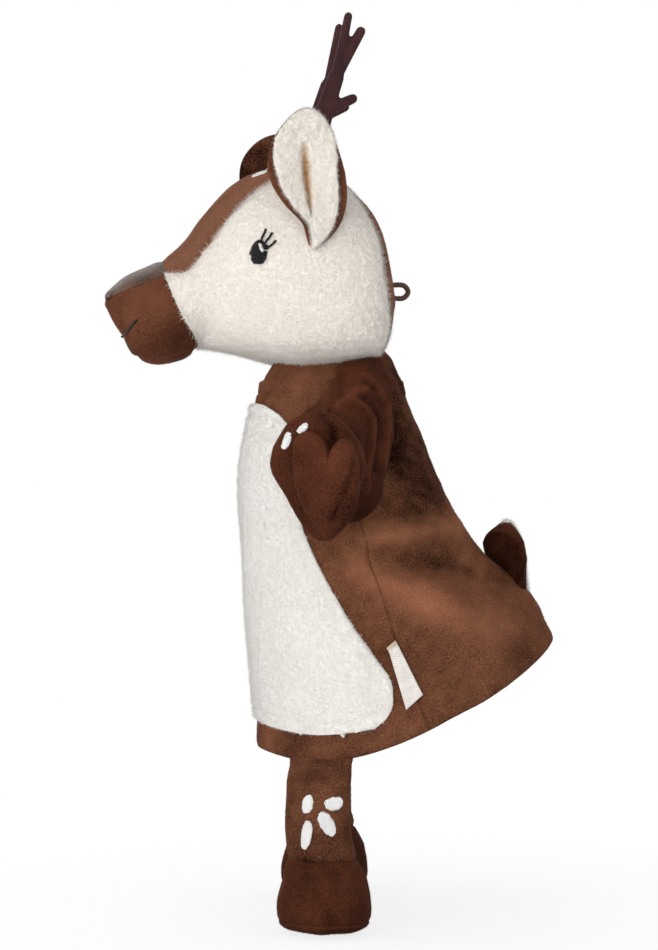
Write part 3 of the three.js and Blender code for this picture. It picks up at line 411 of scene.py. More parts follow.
class Sheet:
    """One layer of cloth: points in millimetres and the faces between them, seen from its outer side."""

    def __init__(self, points, faces):
        self.points = np.asarray(points, float)
        self.faces = [tuple(int(i) for i in f) for f in faces]

    def normals(self):
        mesh = bpy.data.meshes.new("scratch")
        mesh.from_pydata(self.points.tolist(), [], self.faces)
        found = np.empty(len(self.points) * 3, np.float32)
        mesh.vertex_normals.foreach_get("vector", found)
        bpy.data.meshes.remove(mesh)
        return found.reshape(-1, 3).astype(float)

    def border(self):
        """Edges that belong to one face only, each in its face's direction."""
        seen = {}
        for face in self.faces:
            for a, b in zip(face, face[1:] + face[:1]):
                key = (min(a, b), max(a, b))
                seen[key] = None if key in seen else (a, b)
        return [edge for edge in seen.values() if edge]

    def border_distance(self):
        edge_points = sorted({i for edge in self.border() for i in edge})
        return distances(self.points[edge_points], self.points)

    def push(self, amount):
        self.points = self.points + self.normals() * np.broadcast_to(amount, len(self.points))[:, None]
        return self

    def rumple(self, bumps):
        """Makes the cloth uneven by layers of bumps, each with a height, a size and a seed."""
        return self.push(sum(tall * ripple(self.points, size, seed) for tall, size, seed in bumps))

    def tuck(self, depth, width):
        """Draws the edge in, as a seam does."""
        return self.push(-depth * bell(self.border_distance(), width))

    def flipped(self):
        return Sheet(self.points, [f[::-1] for f in self.faces])

    def facing_from(self, centre):
        """The sheet with its outer side away from a point."""
        out = ((self.points - centre) * self.normals()).sum()
        return self if out > 0 else self.flipped()

    def mirrored(self):
        return Sheet(self.points * (1, -1, 1), self.faces).flipped()

    def placed(self, place):
        return Sheet(place(self.points), self.faces)

    def kept(self, field):
        """The part of the sheet where field(points) is above nought, cut cleanly along its edge."""
        bm = bmesh.new()
        corners = [bm.verts.new(p) for p in self.points]
        for face in self.faces:
            bm.faces.new([corners[i] for i in face])
        level = dict(zip(corners, field(self.points)))
        cuts = []
        for edge in list(bm.edges):
            a, b = edge.verts
            if level[a] * level[b] < 0:
                _, vert = bmesh.utils.edge_split(edge, a, level[a] / (level[a] - level[b]))
                level[vert] = 0.0
                cuts.append(vert)
        bmesh.ops.connect_verts(bm, verts=cuts)
        gone = [f for f in bm.faces if sum(level[v] for v in f.verts) < 0]
        bmesh.ops.delete(bm, geom=gone, context="FACES")
        bm.verts.index_update()
        points = [tuple(v.co) for v in bm.verts]
        faces = [[v.index for v in f.verts] for f in bm.faces]
        bm.free()
        return Sheet(points, faces)

    def closed(self):
        return self.points, self.faces

    def thick(self, thickness):
        """Points and faces of the closed cloth, thickened inward."""
        count = len(self.points)
        inner = self.points - self.normals() * thickness
        faces = list(self.faces) + [tuple(i + count for i in f[::-1]) for f in self.faces]
        faces += [(b, a, a + count, b + count) for a, b in self.border()]
        return np.vstack([self.points, inner]), faces

    def triangles(self):
        return np.array([(f[0], f[i], f[i + 1]) for f in self.faces for i in range(1, len(f) - 1)])

    def areas(self):
        a, b, c = (self.points[i] for i in self.triangles().T)
        return np.linalg.norm(np.cross(b - a, c - a), axis=1) / 2

    def square_metres(self):
        return self.areas().sum() * MM * MM

    def tree(self):
        return BVHTree.FromPolygons(self.points.tolist(), self.faces)


def grid_faces(rows, columns, wrap=False, caps=False):
    """Faces of a grid of points, joined round if it wraps, its first and last rings closed by caps."""
    faces = []
    for i in range(rows - 1):
        for k in range(columns if wrap else columns - 1):
            a, b = i * columns + k, i * columns + (k + 1) % columns
            faces.append((a, b, b + columns, a + columns))
    if caps:
        faces += [tuple(range(columns))[::-1], tuple(range((rows - 1) * columns, rows * columns))]
    return faces


def grid(surface, us, vs, wrap=False, caps=False):
    """A sheet over a grid of (u, v)."""
    u, v = np.meshgrid(us, vs, indexing="ij")
    points = np.stack(np.broadcast_arrays(*surface(u, v)), -1).reshape(-1, 3)
    return Sheet(points, grid_faces(len(us), len(vs), wrap, caps))


def joined(parts):
    """Several (points, faces) as one."""
    points, faces, start = [], [], 0
    for corners, sides in parts:
        points.append(corners)
        faces += [tuple(i + start for i in f) for f in sides]
        start += len(corners)
    return np.vstack(points), faces


def piece(name, points, faces, *materials):
    """A smooth mesh object from millimetres."""
    mesh = bpy.data.meshes.new(name)
    mesh.from_pydata((np.asarray(points) * MM).tolist(), [], faces)
    mesh.shade_smooth()
    for material in materials:
        mesh.materials.append(material)
    made = bpy.data.objects.new(name, mesh)
    bpy.context.scene.collection.objects.link(made)
    return made


def taken(copy):
    """The mesh that an object shows, as a sheet in millimetres. The object goes."""
    shown = copy.evaluated_get(bpy.context.evaluated_depsgraph_get()).to_mesh()
    points = np.empty(len(shown.vertices) * 3, np.float32)
    shown.vertices.foreach_get("co", points)
    sheet = Sheet(points.reshape(-1, 3) / MM, [tuple(f.vertices) for f in shown.polygons])
    mesh = copy.data
    bpy.data.objects.remove(copy)
    bpy.data.meshes.remove(mesh)
    return sheet


def soft_copy(node, voxel, smooth):
    """A smooth, even mesh of a CAD node as a sheet in millimetres."""
    copy = bpy.data.objects.new("scratch", frame["nodes"][node].data.copy())
    bpy.context.scene.collection.objects.link(copy)
    remesh = copy.modifiers.new("even", "REMESH")
    remesh.mode = "VOXEL"
    remesh.voxel_size = voxel * MM
    ease = copy.modifiers.new("ease", "SMOOTH")
    ease.factor = 0.5
    ease.iterations = smooth
    return taken(copy)


def stuffed(sheet, shrink=0.8, pressure=4.0, cap=1.8):
    """A closed form blown up as cloth round stuffing, with no point moved further than cap."""
    start = Sheet(sheet.points, sheet.faces).push(-shrink)
    copy = piece("scratch", start.points, start.faces)
    cloth = copy.modifiers.new("cloth", "CLOTH")
    cloth.settings.use_pressure = True
    cloth.settings.uniform_pressure_force = pressure
    cloth.settings.effector_weights.gravity = 0
    cloth.settings.quality = 4
    for step in range(1, 16):
        bpy.context.scene.frame_set(step)
    swollen = taken(copy)
    bpy.context.scene.frame_set(1)
    move = swollen.points - start.points
    far = np.linalg.norm(move, axis=1)[:, None]
    return Sheet(start.points + move * np.minimum(1, cap / np.maximum(far, 1e-6)), sheet.faces)


# Surfaces and the photo

def on_surface(tree, place, lift):
    """The nearest place on a surface, lifted off it."""
    spot, normal, _, _ = tree.find_nearest(tuple(place))
    return np.array(spot) + lift * np.array(normal)


def held_above(sheet, tree, clear):
    """The sheet with every point at least so far outside a surface."""
    points = []
    for point in sheet.points:
        spot, normal, _, _ = tree.find_nearest(tuple(point))
        height = (point - np.array(spot)) @ np.array(normal)
        points.append(point + max(clear - height, 0) * np.array(normal))
    return Sheet(points, sheet.faces)


def seen_at(tree, px, py):
    """Where the line from the photo's camera through one of its pixels meets a surface, if it does."""
    camera = np.array(CAMERA_PLACE) / MM
    through = np.array(((px - ORIGIN_PIXEL[0]) * PIXEL, 0, (ORIGIN_PIXEL[1] - py) * PIXEL))
    heading = through - camera
    spot = tree.ray_cast(tuple(camera), tuple(heading / np.linalg.norm(heading)))[0]
    return None if spot is None else np.array(spot)


def near_line(sheet, pixels, width):
    """How near the points of a sheet are to a line that the photo shows on it, from 0 to 1."""
    tree, steps = sheet.tree(), 10
    ends = [np.array(p, float) for p in pixels]
    dense = [lerp(a, b, k / steps) for a, b in zip(ends, ends[1:]) for k in range(steps + 1)]
    spots = [s for s in (seen_at(tree, *p) for p in dense) if s is not None]
    return bell(distances(spots, sheet.points), width) if spots else np.zeros(len(sheet.points))


# Materials

def linear(*rgb):
    """A colour as it is seen, from 0 to 255, as the linear colour that a shader takes."""
    shares = [c / 255 for c in rgb]
    return tuple(c / 12.92 if c <= 0.04045 else ((c + 0.055) / 1.055) ** 2.4 for c in shares) + (1.0,)


def put(tree, socket, value):
    """Gives a socket a value of its own or another node's output."""
    if isinstance(value, bpy.types.NodeSocket):
        tree.links.new(value, socket)
    else:
        socket.default_value = value


def new_node(tree, kind, inputs, **settings):
    made = tree.nodes.new("ShaderNode" + kind)
    for name, value in settings.items():
        setattr(made, name, value)
    for socket, value in inputs.items():
        put(tree, made.inputs[socket], value)
    return made


class Finish:
    """A node material, built up by its methods."""

    def __init__(self, name, **sockets):
        self.material = bpy.data.materials.new(name)
        self.material.use_nodes = True
        self.tree = self.material.node_tree
        self.shader = self.tree.nodes["Principled BSDF"]
        self.place = self.node("TexCoord").outputs["Object"]
        for socket, value in sockets.items():
            self.shader.inputs[socket.replace("_", " ")].default_value = value

    def node(self, kind, inputs={}, **settings):
        return new_node(self.tree, kind, inputs, **settings)

    def noise(self, scale, detail=2.0):
        return self.node("TexNoise", {"Scale": scale, "Detail": detail, "Vector": self.place}).outputs["Fac"]

    def waves(self, scale, direction, distortion):
        inputs = {"Scale": scale, "Distortion": distortion, "Vector": self.place}
        return self.node("TexWave", inputs, bands_direction=direction).outputs["Fac"]

    def nap(self):
        """The pile's tone and painted shade, as stored at each point of the mesh."""
        return self.node("Attribute", attribute_name="nap").outputs["Fac"]

    def spread(self, value, low, high, to_low=0.0, to_high=1.0):
        return self.node("MapRange", {0: value, 1: low, 2: high, 3: to_low, 4: to_high}).outputs[0]

    def both(self, a, b, share=0.5):
        """A mix of two values."""
        return self.node("Mix", {0: share, 2: a, 3: b}).outputs[0]

    def mix(self, factor, a, b):
        """A mix of two colours."""
        return self.node("Mix", {0: factor, 6: a, 7: b}, data_type="RGBA").outputs[2]

    def colour(self, value):
        put(self.tree, self.shader.inputs["Base Color"], value)

    def bump(self, height, distance, strength):
        raised = self.node("Bump", {"Distance": distance, "Strength": strength, "Height": height})
        put(self.tree, self.shader.inputs["Normal"], raised.outputs["Normal"])


def velour(name, dark, light, sheen, weight=0.22):
    """Short pile, from dark to light by the tone and painted shade stored at each point, with a fine grain.
    """
    made = Finish(name, Roughness=0.9, Sheen_Weight=weight, Sheen_Roughness=0.22, Sheen_Tint=sheen,
                  Specular_IOR_Level=0.04)
    grain = made.spread(made.noise(1700), 0.34, 0.66)
    made.colour(made.mix(made.both(made.nap(), grain, 0.3), dark, light))
    made.bump(grain, 0.0004, 0.6)
    return made.material


def sherpa(name, shade, light, crease=None):
    """Curly pale pile, with painted shade mixed in from the stored tone where a crease colour is given."""
    made = Finish(name, Roughness=0.95, Sheen_Weight=0.25, Sheen_Roughness=0.6, Specular_IOR_Level=0.1)
    tufts = made.spread(made.noise(760, 4), 0.34, 0.66)
    soft = made.spread(made.noise(60), 0.3, 0.7)
    curls = made.mix(made.both(tufts, soft, 0.3), shade, light)
    made.colour(made.mix(made.nap(), curls, crease) if crease else curls)
    made.bump(tufts, 0.0008, 0.6)
    return made.material


def fibre(name, colour, sheen=0.2):
    """One shade of the loose fibres that stand out of a pile."""
    made = Finish(name, Base_Color=colour, Roughness=0.85, Sheen_Weight=sheen, Specular_IOR_Level=0.1)
    return made.material


def fibres(name, low, high, sheen=0.2):
    """Three shades from a dark to a light one."""
    shades = [tuple(lerp(a, b, share) for a, b in zip(low, high)) for share in (0.1, 0.5, 0.9)]
    return [fibre(f"{name}_{i}", shade, sheen) for i, shade in enumerate(shades)]


def thread(name, colour, direction="X", sheen=0.3):
    """Embroidery thread with its twist."""
    made = Finish(name, Roughness=0.5, Sheen_Weight=sheen, Specular_IOR_Level=0.25)
    twist = made.waves(900, direction, 2.0)
    shade = tuple(0.55 * c for c in colour[:3]) + (1.0,)
    made.colour(made.mix(made.spread(twist, 0, 1, 0.0, 0.5), colour, shade))
    made.bump(twist, 0.0001, 0.6)
    return made.material


def suede(name, dark, light, sheen=0.45, ribs=0.0):
    """Short brushed microfibre, ribbed if it has a scale for its ribs."""
    made = Finish(name, Roughness=0.75, Sheen_Weight=sheen, Sheen_Roughness=0.4, Specular_IOR_Level=0.2)
    patches = made.spread(made.noise(120, 3), 0.35, 0.65)
    grain = made.waves(ribs, "X", 3.0) if ribs else made.spread(made.noise(1900), 0.3, 0.7)
    made.colour(made.mix(made.both(patches, grain), dark, light))
    made.bump(grain, 0.0003, 0.5)
    return made.material


def tape(name, colour, shade):
    """Woven label tape: fine ribs across it."""
    made = Finish(name, Roughness=0.7, Specular_IOR_Level=0.3)
    ribs = made.waves(420, "Z", 0.4)
    spots = made.spread(made.noise(260, 3), 0.35, 0.65)
    made.colour(made.mix(made.both(ribs, spots), shade, colour))
    made.bump(ribs, 0.0002, 0.5)
    return made.material


TAN = linear(190, 104, 64)
BROWN_VELOUR = velour("brown_velour", linear(27, 8, 3), linear(146, 95, 69), TAN)
# A darker copy of the brown velour, the same cloth: painted shade on the sleeves, hooves, boots, tail and
# finger pocket.
SHADED_VELOUR = velour("dark_velour", linear(24, 7, 3), linear(110, 62, 43), TAN)
MUZZLE_VELOUR = velour("muzzle_velour", linear(42, 18, 10), linear(124, 77, 56), TAN, 0.2)
STRIP_VELOUR = velour("strip_velour", linear(62, 34, 23), linear(148, 103, 80), TAN, 0.2)
CREAM_SHERPA = sherpa("cream_sherpa", linear(223, 213, 202), linear(239, 234, 227))
# Ear lining: its third colour is a tan painted shade for the crease.
EAR_SHERPA = sherpa("ear_sherpa", linear(214, 205, 194), linear(233, 228, 221), linear(188, 142, 92))
WHITE_SHERPA = sherpa("white_sherpa", linear(214, 210, 204), linear(234, 231, 227))
CREAM_FIBRES = fibres("cream_fibre", linear(221, 212, 201), linear(239, 235, 229))
# Plus a tan fibre for the painted shade in the crease.
EAR_FIBRES = CREAM_FIBRES + [fibre("crease_shade_fibre", linear(190, 152, 108))]
WHITE_FIBRES = fibres("white_fibre", linear(218, 214, 208), linear(237, 235, 231))
BROWN_FIBRES = fibres("brown_fibre", linear(30, 9, 4), linear(140, 90, 65), 0.08)
# Darker fibres for that copy, painted shade as well; the shins carry them too.
SHADED_FIBRES = fibres("shaded_fibre", linear(26, 8, 4), linear(104, 59, 41), 0.08)
STRIP_FIBRES = fibres("strip_fibre", linear(70, 40, 28), linear(136, 94, 72))
NOSE_SUEDE = suede("nose_suede", linear(48, 33, 27), linear(102, 79, 69))
ANTLER_SUEDE = suede("antler_suede", linear(34, 14, 15), linear(72, 38, 40), 0.12, 330)
BLACK_THREAD = thread("black_thread", linear(20, 18, 18), sheen=0.05)
WHITE_THREAD = thread("white_thread", linear(238, 238, 237))
ELASTIC = thread("elastic_cord", linear(86, 56, 42), "Z")
LABEL_TAPE = tape("label_tape", linear(226, 221, 216), linear(200, 193, 187))
LABEL_BACK = tape("label_fold", linear(206, 190, 166), linear(180, 162, 138))
STUFFING = sherpa("stuffing", linear(226, 226, 222), linear(244, 244, 240))


# Pile

def store_tone_and_shade(made, tone_and_shade):
    """Stores the pile's tone with painted light and shade at each point of a piece: 0 is dark and 1 is light.
    """
    spots = made.data.attributes.new("nap", "FLOAT", "POINT")
    tone_and_shade = np.resize(np.clip(tone_and_shade, -0.3, 1.2), len(made.data.vertices))
    spots.data.foreach_set("value", tone_and_shade.astype(np.float32))


def tone_and_shade_of(sheet, seed, base):
    """The pile's tone with painted light: paler where the sheet faces up, darker where it faces down, in
    random patches.
    """
    patches = 0.16 * ripple(sheet.points, 24, seed) + 0.1 * ripple(sheet.points, 8, seed + 1)
    return base + 0.22 * sheet.normals()[:, 2] + patches


def pile(name, sheet, materials, per_mm2, length, width, lean, spread, seed, tone_and_shade=None):
    """Loose fibres that stand out of a sheet, each a thin three-sided spike. Their shades follow the tone and
    painted shade given, or are random.
    """
    rng = np.random.default_rng(seed)
    normals, tri, areas = sheet.normals(), sheet.triangles(), sheet.areas()
    count = int(areas.sum() * per_mm2)
    pick = rng.choice(len(tri), count, p=areas / areas.sum())
    root_share, side_share = np.sqrt(rng.random(count)), rng.random(count)
    weights = np.stack([1 - root_share, root_share * (1 - side_share), root_share * side_share], 1)
    weights = weights[:, :, None]
    root = (sheet.points[tri[pick]] * weights).sum(1)
    normal = unit((normals[tri[pick]] * weights).sum(1))
    aim = unit(normal + np.array(lean) + spread * rng.normal(size=(count, 3)))
    size = (length * rng.uniform(0.5, 1.15, count))[:, None]
    side = unit(np.cross(aim, rng.normal(size=(count, 3)))) * width / 2
    other = np.cross(aim, side)
    root = root - 0.25 * normal
    corners = [root + side * math.cos(turn) + other * math.sin(turn) for turn in (0, 2.1, 4.2)]
    points = np.stack([*corners, root + aim * size], 1).reshape(-1, 3)
    first = 4 * np.arange(count)[:, None]
    faces = np.vstack([first + corner for corner in ((0, 1, 3), (1, 2, 3), (2, 0, 3))])
    made = piece(name, points, faces.tolist(), *materials)
    shade = rng.random(count)
    if tone_and_shade is not None:
        shade = tone_and_shade[tri[pick]].mean(1) + rng.normal(size=count) * 0.15
    shade = np.clip(np.floor(shade * len(materials)), 0, len(materials) - 1)
    made.data.polygons.foreach_set("material_index", np.tile(shade, 3).astype(np.int32))
    made.data.normals_split_custom_set_from_vertices(np.repeat(normal, 4, 0).tolist())
    made.visible_shadow = False
    return made


# Cloths: material, fibres and nap
BROWN_CLOTH = (BROWN_VELOUR, BROWN_FIBRES, GLOVE_NAP)
# The shaded copy of the brown cloth: painted shade.
SHADED_CLOTH = (SHADED_VELOUR, SHADED_FIBRES, GLOVE_NAP)
SHIN_CLOTH = (BROWN_VELOUR, SHADED_FIBRES, GLOVE_NAP)
EAR_CLOTH = (BROWN_VELOUR, BROWN_FIBRES, VELOUR_NAP)


def napped(name, nap_name, sheet, tone_and_shade, look, seed, thickness=None):
    """A piece with its tone and painted shade stored, thickened if it isn't closed already, and the fibres on
    it.
    """
    material, shades, nap = look
    body = piece(name, *(sheet.thick(thickness) if thickness else sheet.closed()), material)
    store_tone_and_shade(body, tone_and_shade)
    return body, pile(nap_name, sheet, shades, *nap, seed, tone_and_shade)


# Bodies

def riding(items, body):
    for made in items:
        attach(made, body)


def bending(items):
    """Bakes the placement of pieces that go from one body to another between two places into their meshes."""
    for made in items:
        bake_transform(made)


def stuffed_in_place_of(node):
    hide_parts(node)


# Glove

def bowed(top, bottom, bow, t):
    """x and z on a bowed line between two places."""
    pull = ((top[0] + bottom[0]) / 2 + 2 * bow, (top[1] + bottom[1]) / 2)
    return [bent(top[i], pull[i], bottom[i], t) for i in (0, 1)]


def glove_point(t, angle, offset=0.0):
    """A place on the glove: t from neck to hem, angle in degrees from the front round its left side."""
    front = bowed((NECK[0] - NECK_RADIUS, NECK[1]), (-HEM_X, -HEM_Z), -CHEST_BOW, t)
    back = bowed((NECK[0] + NECK_RADIUS, NECK[1]), (HEM_X, HEM_Z), -BACK_BOW, t)
    turn = np.radians(angle)
    from_front = 180 - np.abs(180 - (angle + 360) % 360)
    flutes = sum(sign * bell(from_front - place, FLUTE_WIDTH) for place, sign in FLUTES)
    grow = offset + FLUTE_DEPTH * t * t * flutes
    for tall, at, long, place, wide in SWELLS:
        grow = grow + tall * bell(t - at, long) * bell(from_front - place, wide)
    grow = grow - THROAT * ramp(t, 0.08, 0) * bell(from_front, 60)
    grow = grow + NAPE * ramp(t, 0.14, 0) * bell(from_front - 180, 55)
    reach_x, reach_z = (back[0] - front[0]) / 2, (back[1] - front[1]) / 2
    wider = 1 + grow / np.hypot(reach_x, reach_z)
    sag = sum(deep * bell(from_front - place, wide) for place, deep, wide in HEM_SAGS)
    drop = t * t * (HEM_SIDE_DROP * np.sin(turn) ** 2 + sag)
    x = (front[0] + back[0]) / 2 - reach_x * wider * np.cos(turn)
    z = (front[1] + back[1]) / 2 - reach_z * wider * np.cos(turn) - drop
    return x, -(lerp(NECK_RADIUS, HEM_WIDTH / 2, t) + grow) * np.sin(turn), z


def banded(points, bands):
    """The sum of soft bands on the glove, each between two places as seen from the side."""
    flat = points[:, (0, 2)]
    height = np.zeros(len(points))
    for start, end, tall, wide in bands:
        a, b = np.array(start, float), np.array(end, float)
        share = np.clip((flat - a) @ (b - a) / ((b - a) @ (b - a)), 0, 1)
        away = np.linalg.norm(flat - a - share[:, None] * (b - a), axis=1)
        height += tall * bell(away, wide)
    return height


def folded(sheet):
    """The sheet with the glove's side folds, which fade to nothing at its front and back."""
    side = np.clip(np.abs(sheet.points[:, 1]) / 25 - 0.2, 0, 1)
    return sheet.push(banded(sheet.points, SIDE_FOLDS) * side)


def with_armholes(sheet, radius):
    for side in (1, -1):
        armpit = SHOULDER * (1, side, 1)
        sheet = sheet.kept(lambda p: np.linalg.norm(p - armpit, axis=1) - radius)
    return sheet


def glove_half(is_front):
    """The front or back half, from side seam to side seam, its rim drawn in under the neck seam."""
    def surface(t, v):
        seam = lerp(SEAM_TOP, SEAM_HEM, t)
        angle = seam * v if is_front else 180 + (180 - seam) * v
        gathers = GATHER_DEPTH * np.exp(-t / GATHER_FADE) * np.sin(np.radians(GATHERS * angle))
        return glove_point(t, angle, gathers - RIM_TUCK * ramp(t, 0.04, 0.01))

    sheet = grid(surface, np.linspace(0, 1, 120), np.linspace(-1, 1, 150)).facing_from(GLOVE_MIDDLE)
    return with_armholes(folded(sheet), ARMHOLE).rumple(GLOVE_BUMPS).tuck(0.6, 1.2)


# The glove's pile tone, with painted highlights and shade along its folds and under the head.
def glove_tone_and_shade(sheet):
    return tone_and_shade_of(sheet, 13, 0.36) + banded(sheet.points, LIGHT_AND_SHADE_BANDS)


def add_glove(halves):
    for seed, (name, sheet) in enumerate(halves.items(), 11):
        cloth, nap = napped(f"glove_{name}_cloth", f"glove_{name}_nap", sheet, glove_tone_and_shade(sheet), BROWN_CLOTH,
                            seed, GLOVE_CLOTH)
        riding((cloth, nap), "glove")
        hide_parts(f"glove_{name}_panel")
        sheet.square_metres()


def whole_glove(halves, collar):
    """Both halves of the glove and its collar as one sheet."""
    return Sheet(*joined([s.closed() for s in (*halves.values(), collar)]))


def collar_sheet():
    """The gathered neck: it lies over the glove's rim and narrows up into the head."""
    heights, *shapes = np.array(NECK_RINGS).T

    def surface(h, angle):
        rise = np.maximum(h, 0)
        low = glove_point(np.maximum(-h, 0), angle, 0.2)
        middle, length, width = (along(np.stack([heights, shape], 1), rise) for shape in shapes)
        gathers = GATHER_DEPTH * np.sin(np.radians(GATHERS * angle))
        turn = np.radians(angle)
        low = (low[0] - gathers * np.cos(turn), low[1] - gathers * np.sin(turn), low[2])
        high = (middle - (length + gathers) * np.cos(turn), -(width + gathers) * np.sin(turn), NECK[1] + rise)
        return [np.where(h < 0, a, b) for a, b in zip(low, high)]

    places = np.concatenate([np.linspace(-0.055, -0.004, 10), np.linspace(0.3, 16, 26)])
    sheet = grid(surface, places, np.linspace(0, 360, 180, endpoint=False), wrap=True)
    sheet = sheet.facing_from((NECK[0], 0, NECK[1])).rumple(NECK_BUMPS)
    return sheet.push(-0.9 * (1 - ramp(sheet.points[:, 2], 108, 111)))


def add_collar(sheet):
    collar, nap = napped("neck_gathers", "neck_nap", sheet, glove_tone_and_shade(sheet), BROWN_CLOTH, 18, NECK_CLOTH)
    bending((collar, nap))
    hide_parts("neck_seam_band")
    sheet.square_metres()


def belly_sheet():
    """The belly patch: it follows the glove and its folds, with a groove where it is stitched down."""
    def surface(k, v):
        u = (1 - np.cos(np.pi * k)) / 2
        top = BELLY_TOP + BELLY_SHOULDER * np.abs(v) ** 3.5
        t = lerp(top, BELLY_BOTTOM + BELLY_DIP * v * v, u)
        pad = GAP + BELLY_PILE * lerp(1, 0.6, u)
        return glove_point(t, BELLY_SPREAD * along(BELLY_LINE, u) * v, pad)

    sheet = grid(surface, np.linspace(0, 1, 110), np.linspace(-1, 1, 120)).facing_from(GLOVE_MIDDLE)
    sheet = with_armholes(folded(sheet), ARMHOLE + 2)
    edge = sheet.border_distance()
    sheet.push(-0.5 * bell(edge - BELLY_STITCH, 0.7) - 0.6 * bell(edge, 0.9))
    return sheet.rumple(BELLY_BUMPS)


def add_belly(front):
    sheet = held_above(belly_sheet(), front.tree(), BELLY_CLEAR)
    cloth = piece("belly_cloth", *sheet.thick(BELLY_CLOTH), WHITE_SHERPA)
    fuzz = pile("belly_pile", sheet, WHITE_FIBRES, *BELLY_NAP, 21)
    riding((cloth, fuzz), "glove")
    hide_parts("belly_patch")
    sheet.square_metres()


def label_sheet(tree, corners, lift, rise):
    """A small patch on a surface between four of the photo's pixels, lifted off it toward its low end."""
    top_left, top_right, low_right, low_left = (np.array(c, float) for c in corners)
    us, vs = np.linspace(0, 1, 24), np.linspace(0, 1, 9)
    points = []
    for u in us:
        for v in vs:
            pixel = lerp(lerp(top_left, low_left, u), lerp(top_right, low_right, u), v)
            points.append(seen_at(tree, *pixel) - (0, lift + rise * u * (0.4 + 0.6 * v), 0))
    return Sheet(points, grid_faces(len(us), len(vs))).facing_from(GLOVE_MIDDLE)


def add_label(glove):
    """A folded strip of bare woven tape, sewn into the left side seam and hanging a little away from it."""
    tree = glove.tree()
    strip = piece("label_strip", *label_sheet(tree, LABEL_CORNERS, 0.9, 1.8).thick(0.35), LABEL_TAPE)
    back = piece("label_under", *label_sheet(tree, LABEL_TAB, 0.5, 0.0).thick(0.3), LABEL_BACK)
    riding((strip, back), "glove")
    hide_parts("woven_label")


# Head

def head_section(s):
    """Middle height, half height and half width of the head at a place along it."""
    top, low = CROWN * along(TOP_LINE, s), -JAW * along(LOW_LINE, s)
    return (top + low) / 2, (top - low) / 2, HEAD_HALF_WIDTH * along(SIDE_LINE, s)


def head_share(x):
    return np.where(x < 0, x / NOSE_REACH, x / SKULL_BACK)


def head_side(x, z):
    """Half width of the head at a place on its side."""
    middle, half, width = head_section(head_share(x))
    power = HEAD_ROUND if z > middle else JAW_ROUND
    up = min(abs(z - middle) / half, 0.98)
    return float(width * (1 - up ** power) ** (1 / power))


def head_sheet():
    """The whole head, in its own frame, with rounded ends."""
    def surface(k, turn):
        inside = np.clip(k, 0, 1)
        s = -np.cos(np.pi * inside)
        s = np.sign(s) * np.abs(s) ** 0.9
        middle, half, width = head_section(s)
        beyond = k - inside
        cap = np.clip(1 - np.abs(beyond) / 0.06, 0.05, 1)
        jowl = ramp(s, -0.55, -0.25)
        power = np.where(np.cos(turn) < 0, lerp(HEAD_ROUND, JAW_ROUND, jowl), HEAD_ROUND)
        bulge = lambda v: np.sign(v) * np.abs(v) ** (2 / power)
        x = np.where(s < 0, s * NOSE_REACH, s * SKULL_BACK) + 1.2 * np.sign(beyond) * (1 - cap ** 2)
        return x, cap * width * bulge(np.sin(turn)), middle + cap * half * bulge(np.cos(turn))

    sheet = grid(surface, np.linspace(-0.06, 1.06, 146), round_turns(168) + 0.011, wrap=True, caps=True)
    return sheet.facing_from((-15, 0, 0))


def muzzle_field(p):
    """How far a place is in front of the muzzle's seam, which bows forward."""
    lean = (MUZZLE_LOW[0] - MUZZLE_TOP[0]) / (MUZZLE_LOW[1] - MUZZLE_TOP[1])
    below = np.minimum(p[:, 2] - MUZZLE_TOP[1], 0)
    share = np.clip(below / (MUZZLE_LOW[1] - MUZZLE_TOP[1]), 0, 1)
    return MUZZLE_TOP[0] + lean * below - MUZZLE_BOW * np.sin(np.pi * share) - p[:, 0]


def nose_field(p):
    """How far a place is above the nose patch's lower edge."""
    slope = (MUZZLE_TOP[1] - NOSE_TIP_Z) / (MUZZLE_TOP[0] + NOSE_REACH)
    return p[:, 2] - NOSE_TIP_Z - slope * (p[:, 0] + NOSE_REACH)


def chin_field(p):
    """How far a place is inside the gusset under the chin."""
    inside = np.minimum(CHIN_HALF_WIDTH - np.abs(p[:, 1]), p[:, 0] - CHIN_FRONT)
    return np.minimum(inside, MUZZLE_LOW[1] - p[:, 2])


def strip_field(p):
    """How far a place is inside the strip over the crown, which widens at the nape."""
    s = np.clip(head_share(p[:, 0]), -.8, 1.4)
    over = np.minimum(along(STRIP_LINE, s) - np.abs(p[:, 1]), p[:, 2] + 3)
    behind = p[:, 0] - NAPE_START
    width = np.minimum(17 + 1.1 * behind, STRIP_NAPE) + 0.4 * np.minimum(p[:, 2] + 4, 0)
    nape = np.minimum(width - np.abs(p[:, 1]), behind)
    return np.maximum(over, nape)


def head_seams(p):
    """About how far a place on the head is from the nearest seam that shows."""
    muzzle, nose, chin, strip = muzzle_field(p), nose_field(p), chin_field(p), strip_field(p)
    away = 0.9 * np.abs(muzzle)
    away = np.where(muzzle > 0, np.minimum(away, np.abs(nose)), np.minimum(away, np.abs(strip)))
    return np.where((muzzle > 0) & (nose < 0), np.minimum(away, np.abs(chin)), away)


# Slot, material, fibres, nap and height of the bumps of each kind of head panel
CHEEK = ("cream_sherpa", CREAM_SHERPA, CREAM_FIBRES, SHERPA_NAP, 0.3)
MUZZLE = ("muzzle_velour", MUZZLE_VELOUR, BROWN_FIBRES, VELOUR_NAP, 0.05)
STRIP = ("light_velour", STRIP_VELOUR, STRIP_FIBRES, VELOUR_NAP, 0.05)


